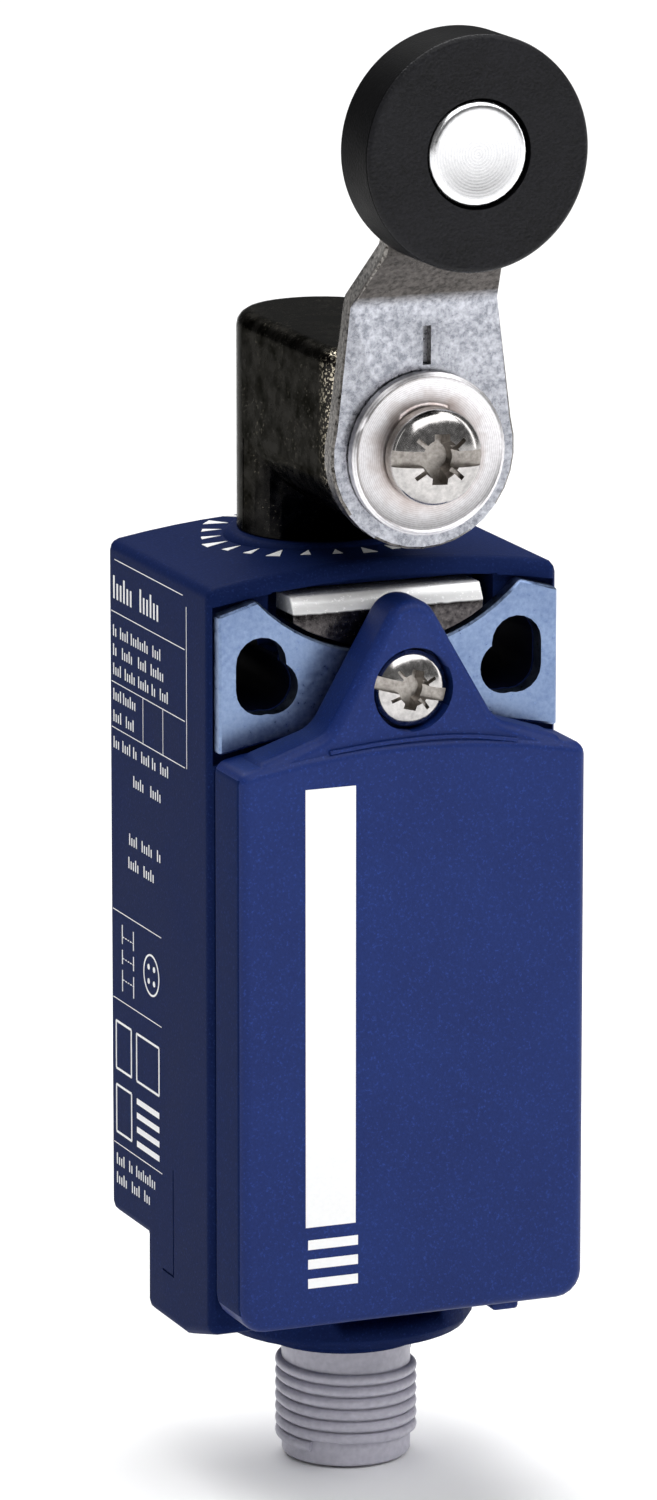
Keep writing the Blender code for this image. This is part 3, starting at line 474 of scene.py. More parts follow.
# %% [markdown]
# ## Other plastics and rubber
#
# The roller is a satin black thermoplastic with a pebbled grain, duller on its tread,
# where a darker black is painted shade.
# The plug is a pale bluish grey. Inner pieces are seldom seen, but they get the same
# care: a slow tone, a fine grain and a fitting roughness.

# %% Satin plastics


def satin_plastic(name, dark, light, grain_mm, rough, depth_mm=0.015, gloss=0.5, pebble=0.4):
    recipe = Recipe(name)
    cloud = recipe.noise(5.0, 3.0)
    grain = recipe.noise(grain_mm, 2.0)
    recipe.set(Base_Color=recipe.blend(recipe.clip(cloud * 0.3 + grain * 0.7, 0.3, 0.7), dark, light),
               Roughness=recipe.clip(cloud, 0.3, 0.7, *rough), Metallic=0.0, Specular_IOR_Level=gloss,
               Normal=recipe.bump(grain, depth_mm, pebble))
    return recipe.material


ROLLER_BLACK = satin_plastic(
    "roller_black", colour(0.0045, 0.0045, 0.005), colour(0.012, 0.012, 0.015), 0.2, (0.34, 0.44),
    depth_mm=0.08, gloss=0.16, pebble=0.9)
# A darker copy of the black paints shade on the roller's tread.
ROLLER_TREAD_SHADED = satin_plastic(
    "roller_tread_painted_shade", colour(0.002, 0.002, 0.002), colour(0.006, 0.006, 0.007), 0.2, (0.4, 0.5),
    depth_mm=0.05, gloss=0.02, pebble=0.6)
PLUG_GREY = satin_plastic(
    "plug_grey", colour(0.43, 0.42, 0.49), colour(0.56, 0.545, 0.62), 0.5, (0.36, 0.48))
INSULATOR = satin_plastic(
    "insulator_black", colour(0.01, 0.01, 0.01), colour(0.03, 0.03, 0.03), 0.3, (0.5, 0.65))
CREAM = satin_plastic("cream_plastic", colour(0.55, 0.5, 0.38), colour(0.68, 0.62, 0.5), 0.4, (0.4, 0.55))
RUBBER = satin_plastic(
    "seal_rubber", colour(0.008, 0.008, 0.008), colour(0.02, 0.02, 0.02), 0.25, (0.7, 0.85))
LEAD_RUBBER = satin_plastic(
    "lead_sheath", colour(0.02, 0.03, 0.09), colour(0.03, 0.05, 0.13), 0.6, (0.35, 0.5))
PRINT_WHITE = satin_plastic(
    "print_white", colour(0.9, 0.905, 0.91), colour(0.95, 0.95, 0.95), 0.3, (0.5, 0.6), depth_mm=0.004)
print("plastics and rubber:", [item.name for item in (ROLLER_BLACK, PLUG_GREY, CREAM, RUBBER, PRINT_WHITE)])

# %% [markdown]
# ## Finish the inner pieces
#
# The CAD solids inside have the right shape already, so they only change material.

# %% Inner pieces
inner_finishes = {
    BRASS: [f"{kind}_{number}" for kind in ("fixed_contact", "connector_pin") for number in range(1, 5)]
    + ["upper_bridge", "lower_bridge", "shaft_bushing"],
    INSULATOR: ["contact_block"],
    CREAM: ["contact_carrier", "plunger"],
    RUBBER: ["head_seal", "shaft_seal"],
    LEAD_RUBBER: [f"lead_{number}" for number in range(1, 5)],
    SPRING_STEEL: ["lever_shaft"],
}
for finish, names in inner_finishes.items():
    for name in names:
        nodes[name].data.materials.clear()
        nodes[name].data.materials.append(finish)
print("inner pieces finished:", sum(len(names) for names in inner_finishes.values()))

# %% [markdown]
# ## Springs
#
# A coil spring holds the plunger up and another holds the contact carriage up. A coil
# could be a circle wound by a Screw modifier, but the CAD nodes are already tubes along
# a helix. What they lack is motion: a rigid coil would be run through by the
# collar above it. Here each is only given a joined, smooth-shaded copy with its own mesh.

# %% Plunger and contact springs
for node, joint in (("plunger_spring", "plunger_travel"), ("contact_spring", "contact_travel")):
    coil = merged_copy(node, node + "_coil")
    put_down(coil, "base", SPRING_STEEL, [node], 40, False)
    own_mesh(coil)

# %% [markdown]
# ## Housing
#
# The housing is one moulding, and where the two slides of its mould met there is a
# hair line down each flank. It could be painted on, but a real step catches light from
# every side, so a thin block is cut a tenth of a millimetre deep. The rest keeps the
# CAD outline: a joined-up copy can be shaded smooth, which loose triangles can't be.
# The two fixing bores see almost no light, and their walls get a near-black blue as painted shade.

# %% Housing with its mould seam
SEAM_Y = -14.2
SEAM_HALF = 0.1
SEAM_DEPTH = 0.12
SEAM_OUTSIDE = 0.5
SEAM_BOTTOM, SEAM_TOP = -51.3, -42.5
SEAM_FOOT_BOTTOM, SEAM_FOOT_REACH = -51.5, 2.4
BORE_X = (7.0, 13.8)
BORE_HALF_HEIGHT = 4.2
housing = merged_copy("housing", "housing_shell")
housing_low, housing_high = (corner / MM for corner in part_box("housing"))
for side, edge in ((-1, housing_low.x), (1, housing_high.x)):
    inner, outer = sorted((edge - side * SEAM_DEPTH, edge + side * SEAM_OUTSIDE))
    combine(housing, block("seam", (inner, SEAM_Y - SEAM_HALF, SEAM_BOTTOM),
                           (outer, SEAM_Y + SEAM_HALF, SEAM_TOP)))
    combine(housing, block("seam_foot", (inner, SEAM_Y - SEAM_HALF, SEAM_FOOT_BOTTOM),
                           (outer, SEAM_Y + SEAM_FOOT_REACH, SEAM_BOTTOM)))


def in_fixing_bore(face):
    """Walls of the two bores behind the keyholes."""
    place = face.center / MM
    beside = BORE_X[0] < abs(place.x) < BORE_X[1] and abs(place.z) < BORE_HALF_HEIGHT
    return beside and abs(face.normal.y) < 0.5 and housing_low.y < place.y < housing_high.y


put_down(housing, "base", HOUSING_BLUE, ["housing"], second=(BORE_SHADE_BLUE, in_fixing_bore))

# %% [markdown]
# ## The cover
#
# The cover is moulded in the same blue, with a tongue that rises to its screw. Its
# shape is complete in the CAD, so the copy is only merged and shaded. Its narrow sides
# get a darker, less glossy copy of the blue, which paints shade on them. Choosing faces
# by their normal gives each its own finish on one mesh.

# %% Cover
cover = merged_copy("front_cover", "cover_shell")
put_down(cover, "base", COVER_BLUE, ["front_cover"],
         second=(COVER_SIDE_SHADED, lambda face: abs(face.normal.x) > 0.9))

# %% [markdown]
# ## The gasket
#
# A rubber gasket fills the joint between the cover and the housing. The mechanical solid
# lies just clear of the cover, and light would show through that hair of a gap. Moving
# the gasket's front faces a little way into the cover's wall closes it, as the squeezed
# rubber does.

# %% Gasket
GASKET_SQUEEZE = 0.5
gasket = merged_copy("cover_seal", "cover_gasket")
gasket_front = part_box("cover_seal")[0].y / MM
pick_parts(gasket, "faces", lambda face: face.normal.y < -0.9 and middle(face).y < gasket_front + 0.05)
bpy.ops.transform.translate(value=(0, -GASKET_SQUEEZE * MM, 0))
leave_edit()
put_down(gasket, "base", RUBBER, ["cover_seal"], 30, False)

# %% [markdown]
# ## The rib
#
# A low ridge runs across the cover where the tongue starts. A Bevel or a sculpted line
# could raise it, but a round-bevelled curve is quicker to place: a few points along the
# arc, one small radius, partly sunk in the step of the face, then converted to a mesh.

# %% Rib where the tongue meets the cover
RIB_RADIUS = 0.17
RIB_BEHIND = 0.22
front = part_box("front_cover")[0].y / MM
rib_route = [(-7.2, -5.45), (-4.0, -5.12), (-1.0, -4.98), (1.6, -4.93), (4.2, -5.05), (6.75, -5.4),
             (8.9, -5.8)]
clear_selection()
bpy.ops.curve.primitive_nurbs_path_add()
rib = bpy.context.object
rib.name = "cover_rib"
rib.data.splines.clear()
path = rib.data.splines.new("NURBS")
path.points.add(len(rib_route) - 1)
for point, (x, z) in zip(path.points, rib_route):
    point.co = (x * MM, (front + RIB_BEHIND) * MM, z * MM, 1.0)
path.use_endpoint_u = True
path.order_u = 3
rib.data.bevel_depth = RIB_RADIUS * MM
rib.data.bevel_resolution = 4
rib.data.use_fill_caps = True
bpy.ops.object.convert(target="MESH")
put_down(rib, "base", COVER_BLUE, (), 50, False)

# %% [markdown]
# ## The fixing plate
#
# A stamped zinc-plated sheet with two keyholes takes the mounting screws. Stamping
# leaves flat faces and a slightly rolled edge, which the CAD outline already has. The
# work here is in the finish: bluish passivated zinc with a fine crystal grain.

# %% Fixing plate
plate = merged_copy("mounting_plate", "fixing_plate")
put_down(plate, "base", ZINC, ["mounting_plate"])

# %% [markdown]
# ## The head
#
# The head is die cast, so every outside edge is rounded, and the neck flows into the
# half-round snout that holds the shaft. Weighted normals keep its large flats truly
# flat while the rounded edges shade softly. The dark plating does the rest.

# %% Head casing
head = merged_copy("head_casing", "head_shell")
put_down(head, "rotary_head", NICKEL, ["head_casing"])

# %% [markdown]
# ## The lock bar
#
# A small sheared steel bar slides under the head to hold it. Its top is painted
# near-white and less mirror-like as painted light, and its front is painted near-black
# as painted shade. Two segments of bevel are enough for a bar this small, because only
# the thin highlight along its edge is seen.

# %% Lock bar
bar = merged_copy("head_lock_bar", "lock_bar")
round_edges(bar, 0.15, 2)
put_down(bar, "base", LOCK_STEEL, ["head_lock_bar"])

# %% [markdown]
# ## The lever
#
# The lever is stamped from thick strip and bent twice. The blank's faces are plated, and
# a darker band across the jog above the upper bend is painted shade. The sheared rim is
# rougher, and darker partly from its own finish and partly from painted shade. A face that
# points sideways or up and down is part of the rim, so a test on the normal finds it,
# whatever the strip's outline.

# %% Lever
RIM_TILT = 0.6
lever = merged_copy("lever", "lever_strip")


def in_sheared_rim(face):
    """Faces round the outline, but not the sloping faces of the bends."""
    height = face.center.z / MM
    below = face.normal.z < -RIM_TILT and height < shaft_centre.z
    above = face.normal.z > RIM_TILT and height > roller_centre.z
    return abs(face.normal.x) > RIM_TILT or below or above


put_down(lever, "lever_arm", STRIP, ["lever"], second=(SHEARED_AND_SHADED, in_sheared_rim))

# %% [markdown]
# ## The washer
#
# A dished washer spreads the screw's load. It is turned, so the finish carries faint
# rings about the shaft. A Noise texture would look cast, so the rings are a wave on the
# distance from the shaft's own axis.

# %% Washer
washer = merged_copy("lever_washer", "dished_washer")
put_down(washer, "lever_arm", WASHER_STEEL, ["lever_washer"])

# %% [markdown]
# ## The roller
#
# The roller is a thick black tyre with softly rounded rims and a pocket for the hub.
# It could be spun from a profile, but a cylinder with two bevelled rims and two cuts is
# easier to read. It has 128 sides because its outline is seen against a pale floor.

# %% Roller
RIM_BEVEL = 0.45
HUB_POCKET_RADIUS = 4.32
HUB_POCKET_DEPTH = 3.2
ROLLER_BORE_RADIUS = 2.9
front_y, back_y = roller_box[0].y / MM, roller_box[1].y / MM
centre_x, centre_z = roller_centre.x, roller_centre.z
roller_radius = (roller_box[1].x - roller_box[0].x) / 2 / MM
roller = cylinder("roller_tyre", (centre_x, front_y, centre_z), (centre_x, back_y, centre_z),
                  roller_radius, 128)


def rim_edges(edge):
    """Edges of the two outer rims."""
    a, b = (vert.co / MM for vert in edge.verts)
    return abs(a.y - b.y) < 0.01


pick_parts(roller, "edges", rim_edges)
bpy.ops.mesh.bevel(offset=RIM_BEVEL * MM, segments=4, profile=0.5)
leave_edit()
combine(roller, cylinder("hub_pocket", (centre_x, front_y - PAST, centre_z),
                         (centre_x, front_y + HUB_POCKET_DEPTH, centre_z), HUB_POCKET_RADIUS, 96))
combine(roller, cylinder("bore", (centre_x, front_y - PAST, centre_z), (centre_x, back_y + PAST, centre_z),
                         ROLLER_BORE_RADIUS, 64))
# The tread takes the darker black as painted shade.
put_down(roller, "roller_wheel", ROLLER_BLACK, ["roller"],
         second=(ROLLER_TREAD_SHADED, lambda face: abs(face.normal.y) < 0.3))

# %% [markdown]
# ## The rivet
#
# The rivet's face is turned very slightly hollow, so its upper half mirrors something
# darker or lighter than its lower half. Four insets, each after the first moved back a
# few hundredths of a millimetre, make that hollow by hand, and no texture could fake its
# reflection.

# %% Rivet with a slightly dished face
DISH = ((0.4, 0.0), (0.7, 0.05), (0.8, 0.045), (0.8, 0.025))
rivet = merged_copy("roller_pin", "roller_rivet")
rivet_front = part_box("roller_pin")[0].y / MM
pick_parts(rivet, "faces", lambda face: face.normal.y < -0.95 and abs(middle(face).y - rivet_front) < 0.02)
for inset_mm, sink_mm in DISH:
    bpy.ops.mesh.inset(thickness=inset_mm * MM, use_boundary=True)
    bpy.ops.transform.translate(value=(0, sink_mm * MM, 0))
leave_edit()
put_down(rivet, "lever_arm", HUB_STEEL, ["roller_pin"], 40, False)

# %% [markdown]
# ## The two screws
#
# Both screws are pan heads with a straight slot, a cross and small nicks between its
# arms. The dome is made ring by ring from a cylinder's face: inset, move, repeat. The
# recess is cut with blocks and a cone. One function makes both, from the box of the CAD
# screw, so each head sits exactly on its seat. Recess walls get a darker, browner steel,
# which is painted shade in the recess. All the proportions below are shares of the
# head's radius, its height or the slot's own size.

# %% Screws
DOME_WALL = 0.45
DOME_RINGS = 9
DOME_TURN_DEG = 84
SLOT_REACH, SLOT_HALF, SLOT_DEPTH = 1.2, 0.17, 0.52
CROSS_REACH, CROSS_DEPTH = 0.52, 1.6
NICK_TURNS_DEG = (38, 142)
NICK_REACH, NICK_HALF, NICK_DEPTH = 0.66, 0.28, 0.75
WELL_BOTTOM_RADIUS, WELL_MOUTH_RADIUS = 0.3, 0.5


def domed_head(name, centre, head_radius, head_height):
    """A pan head facing the front: a short wall, then a dome made ring by ring."""
    x, front, z = centre
    wall = head_height * DOME_WALL
    screw = cylinder(name, (x, front + head_height - wall, z), (x, front + head_height, z), head_radius, 96)
    pick_parts(screw, "faces", lambda face: face.normal.y < -0.9 and len(face.verts) > 8)
    before_radius, before_rise = head_radius, 0.0
    for ring in range(1, DOME_RINGS + 1):
        turn = math.radians(DOME_TURN_DEG * ring / DOME_RINGS)
        radius = head_radius * math.cos(turn)
        rise = (head_height - wall) * math.sin(turn)
        bpy.ops.mesh.inset(thickness=(before_radius - radius) * MM, use_boundary=True)
        bpy.ops.transform.translate(value=(0, -(rise - before_rise) * MM, 0))
        before_radius, before_rise = radius, rise
    leave_edit()
    return screw


def slotted_cross_screw(name, node, body, head_radius, head_height, shank_radius, turn_deg=0.0):
    """A pan head with a slot, a cross and four small nicks between its arms."""
    low, high = (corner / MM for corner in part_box(node))
    x, z = (low.x + high.x) / 2, (low.z + high.z) / 2
    front = low.y
    seat = front + head_height
    screw = domed_head(name, (x, front, z), head_radius, head_height)
    combine(screw, cylinder("shank", (x, seat - 0.4, z), (x, high.y, z), shank_radius, 32), "UNION")
    slot_half = head_radius * SLOT_HALF
    slot_depth = head_height * SLOT_DEPTH
    cuts = [(0, head_radius * SLOT_REACH, slot_half, slot_depth),
            (90, head_radius * CROSS_REACH, slot_half, slot_depth * CROSS_DEPTH)]
    cuts += [(turn, head_radius * NICK_REACH, slot_half * NICK_HALF, slot_depth * NICK_DEPTH)
             for turn in NICK_TURNS_DEG]
    for turn, reach, half, deep in cuts:
        cutter = block("recess", (-reach, -PAST, -half), (reach, deep, half))
        cutter.rotation_euler = (0, math.radians(turn + turn_deg), 0)
        cutter.location = Vector((x, front, z)) * MM
        combine(screw, settle(cutter))
    clear_selection()
    well_depth = slot_depth * CROSS_DEPTH
    bpy.ops.mesh.primitive_cone_add(vertices=48, radius1=head_radius * WELL_BOTTOM_RADIUS * MM,
                                    radius2=head_radius * WELL_MOUTH_RADIUS * MM,
                                    depth=(well_depth + PAST) * MM,
                                    location=Vector((x, front + (well_depth - PAST) / 2, z)) * MM,
                                    rotation=(math.radians(90), 0, 0))
    combine(screw, settle(bpy.context.object))
    wall = head_height * DOME_WALL

    def in_recess(face):
        """Faces that lie below the dome and above the seat."""
        place = face.center / MM
        reach = min(math.hypot(place.x - x, place.z - z) / head_radius, 1.0)
        dome = seat - wall - (head_height - wall) * math.sqrt(1 - reach * reach)
        return place.y < seat - 0.1 and place.y > dome + 0.08

    # Recess faces take the darker steel as painted shade.
    return put_down(screw, body, SCREW_STEEL, [node], 28, second=(RECESS_SHADE_STEEL, in_recess))


slotted_cross_screw("lever_screw_head", "lever_screw", "lever_arm", 3.85, 2.3, 1.4, 3.0)
slotted_cross_screw("cover_screw_head", "cover_screw", "base", 3.1, 2.0, 1.5, 14.0)

# %% [markdown]
# ## The plug's body
#
# The grey connector nose is turned about its own axis. Its body is joined from three
# round bars: the threaded core, the stem inside the housing and the flange that stops
# it from pulling out. The core's end has a small lead-in bevel.

# %% Plug
CORE_RADIUS, CORE_TOP = 5.28, -57.9
STEM_RADIUS, STEM_BOTTOM = 5.2, -58.3
FLANGE_RADIUS, FLANGE_THICKNESS = 7.2, 1.1
low, high = (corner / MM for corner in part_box("m12_plug"))
plug_x, plug_y = (low.x + high.x) / 2, (low.y + high.y) / 2
tip_z, flange_z = low.z, high.z


def upright(name, bottom, top, radius, sides=96):
    """A round bar on the plug's axis."""
    return cylinder(name, (plug_x, plug_y, bottom), (plug_x, plug_y, top), radius, sides)


plug = upright("plug_nose", tip_z, CORE_TOP, CORE_RADIUS)
pick_parts(plug, "edges", lambda edge: abs(middle(edge).z - tip_z) < 0.01)
bpy.ops.mesh.bevel(offset=0.35 * MM, segments=3, profile=0.5)
leave_edit()
combine(plug, upright("stem", STEM_BOTTOM, flange_z - 0.5, STEM_RADIUS, 64), "UNION")
combine(plug, upright("flange", flange_z - FLANGE_THICKNESS, flange_z, FLANGE_RADIUS, 64), "UNION")
print("plug core from", round(tip_z, 2), "to", CORE_TOP, "mm")

# %% [markdown]
# ## The thread
#
# A real M12 thread climbs one millimetre a turn. Stacked rings would do from afar, but
# they show as soon as the plug is seen closely. A twelve-sided circle is moved over to
# the origin, wound about the upright axis by the Screw modifier and moved back. Then its
# ends are filled, and it is joined to the core.

# %% Helical thread
THREAD_PITCH = 1.0
THREAD_TURNS = 6.6
THREAD_TOP = -59.55
RIDGE_RADIUS, RIDGE_OUTSIDE = 0.42, 0.12
STEPS_PER_TURN = 64
clear_selection()
ridge_x = plug_x + CORE_RADIUS + RIDGE_OUTSIDE
bpy.ops.mesh.primitive_circle_add(vertices=12, radius=RIDGE_RADIUS * MM, fill_type="NOTHING",
                                  location=(ridge_x * MM, plug_y * MM, THREAD_TOP * MM),
                                  rotation=(math.radians(90), 0, 0))
thread = settle(bpy.context.object)
thread.name = "thread"
axis = Vector((plug_x, plug_y, 0)) * MM
for vert in thread.data.vertices:
    vert.co -= axis
steps = int(THREAD_TURNS * STEPS_PER_TURN)
modify(thread, "SCREW", angle=2 * math.pi * THREAD_TURNS, screw_offset=-THREAD_PITCH * THREAD_TURNS * MM,
       steps=steps, render_steps=steps, use_merge_vertices=False)
for vert in thread.data.vertices:
    vert.co += axis
bpy.ops.object.mode_set(mode="EDIT")
bpy.ops.mesh.select_all(action="SELECT")
bpy.ops.mesh.fill_holes(sides=0)
bpy.ops.mesh.select_all(action="SELECT")
bpy.ops.mesh.normals_make_consistent(inside=False)
leave_edit()
combine(plug, thread, "UNION")
print("thread of", THREAD_TURNS, "turns; the plug has", len(plug.data.polygons), "faces")

# %% [markdown]
# ## The socket
#
# Seen from below, the nose is hollow, with four pins standing in it. A round cut makes
# the hollow, and one narrow cut for each pin keeps the plastic clear of the metal.

# %% Socket in the plug
SOCKET_TOP, SOCKET_RADIUS = -59.5, 4.3
PIN_WAY_Z, PIN_WAY_RADIUS = (-62, -40), 0.8
combine(plug, upright("socket", tip_z - PAST, SOCKET_TOP, SOCKET_RADIUS, 64))
for number in range(1, 5):
    pin_low, pin_high = (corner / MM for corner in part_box(f"connector_pin_{number}"))
    x, y = (pin_low.x + pin_high.x) / 2, (pin_low.y + pin_high.y) / 2
    combine(plug, cylinder("pin_way", (x, y, PIN_WAY_Z[0]), (x, y, PIN_WAY_Z[1]), PIN_WAY_RADIUS, 24))
put_down(plug, "base", PLUG_GREY, ["m12_plug"], 40)

# %% [markdown]
# ## Printed marks
#
# The print is a skin of white ink. Each patch is a very thin slab that stands a few
# hundredths of a millimetre proud of the plastic, so that it keeps a crisp edge from
# any side. Lettering is left as plain bars.

# %% Ink patches
INK = 0.03
INK_ROOT = 0.06


def ink_patches(name, spans, axis, face, outward):
    """Thin slabs on a face across an axis: spans hold the low and high corner of the other two axes."""
    near, far = sorted((face + outward * INK, face - outward * INK_ROOT))
    clear_selection()
    for number, (low, high) in enumerate(spans):
        low, high = list(low), list(high)
        low.insert(axis, near)
        high.insert(axis, far)
        low, high = Vector(low), Vector(high)
        bpy.ops.mesh.primitive_cube_add(size=1, location=(low + high) / 2 * MM, scale=(high - low) * MM)
        if number == 0:
            patch = bpy.context.object
            patch.name = name
            bpy.ops.object.transform_apply(location=True, rotation=True, scale=True)
            bpy.ops.object.mode_set(mode="EDIT")
    leave_edit()
    settle(patch)
    round_edges(patch, 0.012, 1, 60)
    return put_down(patch, "base", PRINT_WHITE, (), 30, False)


cover_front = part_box("front_cover")[0].y / MM
ink_patches("front_stripe", [((-9.4, -44.05), (-5.1, -8.2))], 1, cover_front, -1)
ink_patches("front_bars", [((-9.2, -45.9), (-4.9, -45.1)), ((-9.2, -47.5), (-4.9, -46.7)),
                           ((-9.2, -49.1), (-4.9, -48.3))], 1, cover_front, -1)

# %% [markdown]
# ## The side label
#
# The flank carries small print: a title, lines of data, ruled boxes, a contact diagram
# and four marks. None of it is lettered here. Upright strokes of two heights stand for
# small type, plain frames stand for the marks, and rules divide them. Each is one more
# thin slab, so the whole label is a single piece of ink.

# %% Side label
LABEL_EDGE = -1.0
RULE = 0.07
THICK_RULE = 0.2
FRAME_HEIGHT = 4.0
side_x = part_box("housing")[0].x / MM


def row(z, height, *words):
    """Bars in one line of print: each word runs from one distance behind the label's edge to another."""
    return [((LABEL_EDGE - end, z - height / 2), (LABEL_EDGE - start, z + height / 2))
            for start, end in words]


def strokes(z, height, words, pitch=0.5, width=0.17):
    """Upright strokes of two heights along each word, as print too small to read."""
    bars = []
    for start, end in words:
        for number in range(int((end - start) / pitch)):
            tall = height if number % 3 == 0 else height * 0.7
            left = LABEL_EDGE - start - number * pitch
            bars.append(((left - width, z - height / 2), (left, z - height / 2 + tall)))
    return bars


def frame_of_rules(start, end, low_z):
    """A plain rectangle drawn with four thick rules."""
    high_z = low_z + FRAME_HEIGHT
    sides = row(low_z, THICK_RULE, (start, end)) + row(high_z, THICK_RULE, (start, end))
    for y in (LABEL_EDGE - start, LABEL_EDGE - end):
        sides.append(((y - THICK_RULE / 2, low_z), (y + THICK_RULE / 2, high_z)))
    return sides


label = strokes(3.3, 1.9, [(0.5, 5.6), (6.4, 11.2)], 0.75, 0.3)
for z, words in ((-0.3, ((0.4, 1.6), (2.0, 4.0), (4.4, 8.8), (9.2, 11.6))),
                 (-1.9, ((0.4, 1.6), (2.4, 5.2), (6.0, 8.4), (8.8, 11.8))),
                 (-3.5, ((0.4, 2.6), (3.0, 5.6), (6.0, 8.6), (9.0, 10.2), (10.8, 13.2))),
                 (-5.6, ((0.4, 2.4), (2.6, 6.0))), (-7.4, ((0.4, 2.4), (3.2, 5.6))),
                 (-9.6, ((0.4, 2.0), (2.4, 4.6), (4.8, 6.2), (6.6, 8.6), (9.0, 10.4), (10.8, 13.0))),
                 (-12.0, ((4.8, 7.4), (8.6, 11.2))),
                 (-17.0, ((3.8, 5.8), (6.6, 9.2), (10.0, 11.4))), (-19.0, ((3.6, 6.4), (7.0, 9.8))),
                 (-44.7, ((0.6, 3.0), (3.4, 4.6), (5.0, 9.6))),
                 (-46.3, ((0.6, 3.4), (4.0, 6.2), (6.8, 8.4)))):
    label += strokes(z, 0.95, words)
for z in (-25.6, -27.4, -29.2):
    label += row(z, 0.09, *[(2.2 + 0.55 * dash, 2.5 + 0.55 * dash) for dash in range(5)])
for y in (-3.1, -5.6):
    for low_z, high_z in ((-30.2, -28.4), (-27.9, -26.7), (-26.2, -24.6)):
        label += [((y - RULE, low_z), (y + RULE, high_z))]
for start, end, low_z in ((0.6, 4.0, -37.0), (5.2, 10.2, -37.0), (0.6, 4.0, -42.4)):
    label += frame_of_rules(start, end, low_z)
for z in (-38.7, -39.9, -41.1, -42.3):
    label += row(z, 0.5, (5.2, 10.2))
for z, start, end in ((1.25, 0, 16.2), (-4.6, 0, 16.2), (-8.4, 0, 16.2), (-23.65, 0, 10.8), (-31.1, 0, 10.8),
                      (-43.4, 0, 10.8), (5.6, 0.8, 15.8)):
    label += row(z, RULE, (start, end))
for y, low_z, high_z in ((-17.6, -8.4, 4.8), (-8.0, -8.4, -4.6), (-12.4, -8.4, -4.6)):
    label += [((y - RULE / 2, low_z), (y + RULE / 2, high_z))]
ink_patches("side_label", label, 0, side_x, -1)

# %% [markdown]
# ## The pin diagram
#
# A ring with four dots shows how the plug is wired. The ring is a very flat cylinder
# with its middle cut out, and each dot is joined on. Forty-eight sides are plenty for
# something under four millimetres across.

# %% Ring of the pin diagram
ring_y, ring_z = -9.6, -27.3
RING_RADIUS, RING_WIDTH = 1.75, 0.16
DOT_RADIUS, DOT_REACH = 0.24, 0.85
near_x, far_x = side_x - INK, side_x + INK_ROOT
pin_ring = cylinder("pin_ring", (near_x, ring_y, ring_z), (far_x, ring_y, ring_z), RING_RADIUS, 48)
combine(pin_ring, cylinder("ring_hole", (near_x - PAST, ring_y, ring_z), (far_x + PAST, ring_y, ring_z),
                           RING_RADIUS - RING_WIDTH, 48))
for turn in (45, 135, 225, 315):
    y = ring_y + DOT_REACH * math.cos(math.radians(turn))
    z = ring_z + DOT_REACH * math.sin(math.radians(turn))
    combine(pin_ring, cylinder("dot", (near_x, y, z), (far_x, y, z), DOT_RADIUS, 16), "UNION")
put_down(pin_ring, "base", PRINT_WHITE, (), 30, False)

# %% [markdown]
# ## The boss under the head
#
# The moulding rises in a low collar where the head turns. A short cylinder with a soft
# top bevel makes it, bored through for the spigot. It stops just under the head's own
# base, so that the head can turn freely.

# %% Low boss that the head turns on
BOSS_BOTTOM, BOSS_TOP, BOSS_RADIUS, BOSS_BEVEL = 7.8, 8.62, 8.1, 0.7
BOSS_BORE_Z, BOSS_BORE_RADIUS = (5, 12), 6.0
seat_low, seat_high = (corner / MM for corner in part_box("head_seal"))
seat_x, seat_y = (seat_low.x + seat_high.x) / 2, (seat_low.y + seat_high.y) / 2
boss = cylinder("head_boss", (seat_x, seat_y, BOSS_BOTTOM), (seat_x, seat_y, BOSS_TOP), BOSS_RADIUS, 96)
pick_parts(boss, "edges", lambda edge: abs(middle(edge).z - BOSS_TOP) < 0.01)
bpy.ops.mesh.bevel(offset=BOSS_BEVEL * MM, segments=4, profile=0.35)
leave_edit()
combine(boss, cylinder("boss_bore", (seat_x, seat_y, BOSS_BORE_Z[0]), (seat_x, seat_y, BOSS_BORE_Z[1]),
                       BOSS_BORE_RADIUS, 64))
put_down(boss, "base", HOUSING_BLUE, (), 40, False)

# %% [markdown]
# ## The catch
#
# A small lug on the cover's lower edge shows where the cover hooks on. It is a block with
# all its edges rounded, tucked under the cover.

# %% Catch under the cover
cover_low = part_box("front_cover")[0] / MM
catch = block("cover_catch", (7.6, cover_low.y + 1.6, -53.4), (9.9, cover_low.y + 4.0, -52.0))
round_edges(catch, 0.35, 3)
put_down(catch, "base", COVER_BLUE, (), 40)

# %% [markdown]
# ## The angle marks
#
# Around the head is a printed scale of narrow wedges, every fifteen degrees, with a
# longer one every forty-five. One wedge of each size is modelled from a three-sided
# prism, and copies are turned about the head. The top is crowned, so flat wedges would
# sink or float: each point is lifted to the height of the crown below it. The three
# wedges that would hang over the rear edge are left out.

# %% Angle marks on the crowned top
CROWN_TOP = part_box("housing")[1].z / MM
CROWN_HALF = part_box("housing")[1].x / MM
CROWN_DROP = 1.4
MARK_STEP_DEG = 15
MARK_TIP = 8.2
MARK_ROOT = 0.15
LONG_REACH, LONG_HALF = 10.2, 0.62
SHORT_REACH, SHORT_HALF = 9.8, 0.42
REAR_MARGIN = 0.2


def crown_height(x):
    """Height of the crowned top over a place across the housing, in millimetres."""
    return CROWN_TOP - CROWN_DROP * (x / CROWN_HALF) ** 2


